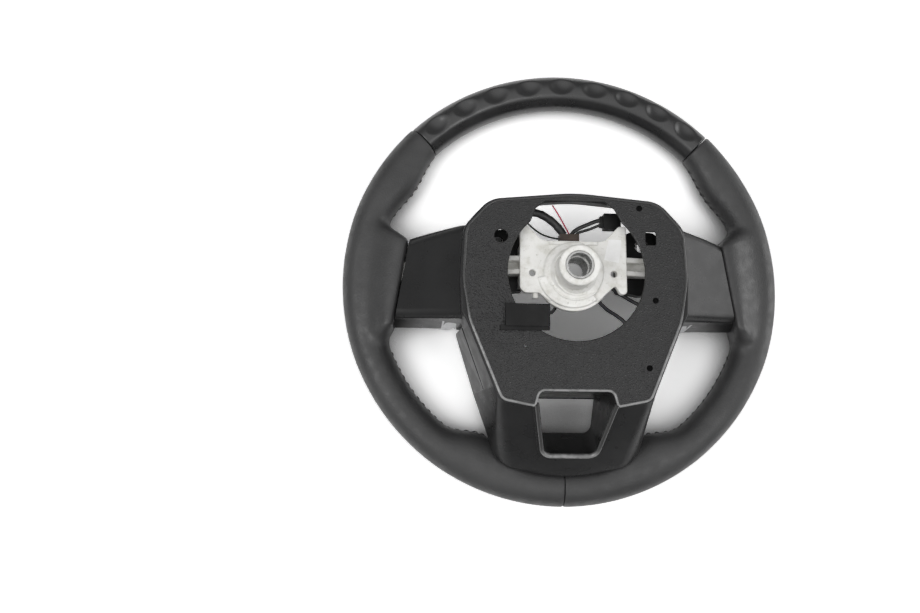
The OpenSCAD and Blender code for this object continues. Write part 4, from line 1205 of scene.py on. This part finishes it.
def leather_surface(th, phi, lift):
    """A place on the grip, out by a lift along the section's normal."""
    inner, outer = grip_inner(th), RIM_R + GRIP_HALF_W
    middle, half = (inner + outer) / 2, (outer - inner) / 2
    c, s = math.cos(math.radians(phi)), math.sin(math.radians(phi))
    normal = unit(np.array((c / half, s / GRIP_HALF_H)))
    r, z = np.array((middle + half * c, RIM_Z + GRIP_HALF_H * s)) + normal * lift
    t = math.radians(th)
    return np.array((r * math.cos(t), r * math.sin(t), z))


def stitching(side):
    points, faces = [], []
    for first, last in ((43.5, 21.0), (-21.5, -87.0)):
        count = int(abs(last - first) * math.pi / 180 * grip_inner((first + last) / 2) / STITCH_PITCH)
        for k in range(count):
            th = first + (last - first) * (k + 0.25) / count
            step = (last - first) / count * 0.62
            path = []
            for t in np.linspace(0, 1, 9):
                lift = -0.5 + 0.95 * math.sin(math.pi * t) ** 0.5
                path.append(leather_surface(th + step * t, 180 + STITCH_SPREAD * (1 - 2 * t), lift))
            more, sides = tube(path, lambda t: THREAD_R, 8)
            faces += [tuple(len(points) + v for v in f) for f in sides]
            points += more
    points = np.array(points)
    if side < 0:
        points[:, 0] *= -1
        faces = flipped(faces)
    mesh_piece(f"{SIDES[side]}_stitching", points, faces, "grip_leather", crisp=60)


# Cast steps round the hub's boss, and the dark ribs beside the arms. A step is a low ridge: distance from the
# axis at its start and end, the two angles in degrees, and its radius.

PLATE_TOP = -32.0
CAST_STEPS = ((16.9, 20.2, 196, 300, 1.0), (21.2, 24.4, 206, 322, 1.1), (16.6, 17.4, 20, 160, 0.7))


def casting_z(x, y):
    """Height of the casting's back."""
    hit, place, _, _ = nodes["armature"].ray_cast(Vector((x, y, 20)) * MM, Vector((0, 0, -1)))
    return place.z / MM if hit else PLATE_TOP


def cast_steps():
    points, faces = [], []
    for r0, r1, first, last, radius in CAST_STEPS:
        path = []
        for t in np.linspace(0, 1, 48):
            a, r = math.radians(first + (last - first) * t), r0 + (r1 - r0) * t
            x, y = r * math.cos(a), r * math.sin(a)
            path.append(np.array((x, y, casting_z(x, y) - radius * 0.35)))
        more, sides = tube(path, lambda t, k=radius: k, 12)
        faces += [tuple(len(points) + v for v in f) for f in sides]
        points += more
    mesh_piece("cast_steps", points, faces, "cast_alloy", crisp=60)


APRON = (
    (39, 42, 2, 2, 0), (39, -13.5, 3, 3, 0), (49, -14, 6, 2, 0), (58, -15.7, 6, 2, 0), (68, -14.5, 3, 3, 0),
    (71, 1.2, 0.3, 1, 0), (45.8, 1.2, 0.3, 1, 0), (45.8, 40, 1, 2, 0),
)


def housing_apron(side):
    points, faces = extrusion(outline(APRON, 2)[:, :2], -62, -51)
    if side < 0:
        points, faces = [(-x, y, z) for x, y, z in points], flipped(faces)
    mesh_piece(f"{SIDES[side]}_housing_apron", points, faces, "black_plastic", crisp=35)


# Blank label on the casting


def label():
    corners = [(25.4, 10.5, 0.6, 2, 0), (37.6, 8.2, 0.6, 2, 0), (39.9, 27.4, 0.6, 2, 0), (29.4, 27.6, 0.6, 2, 0)]
    points, faces = extrusion(outline(corners, 2)[:, :2], PLATE_TOP - 0.15, PLATE_TOP + 0.12)
    obj = mesh_piece("blank_label", points, faces, "cast_alloy", crisp=35)
    obj.data.materials[0] = label_paint()


leather_grip(1)
leather_grip(-1)
upper_grip()
rear_cover()
rear_shell()
u_lip()
harness()
for side in (1, -1):
    stitching(side)
    housing_apron(side)
    bezel_tab(side)
cast_steps()
label()
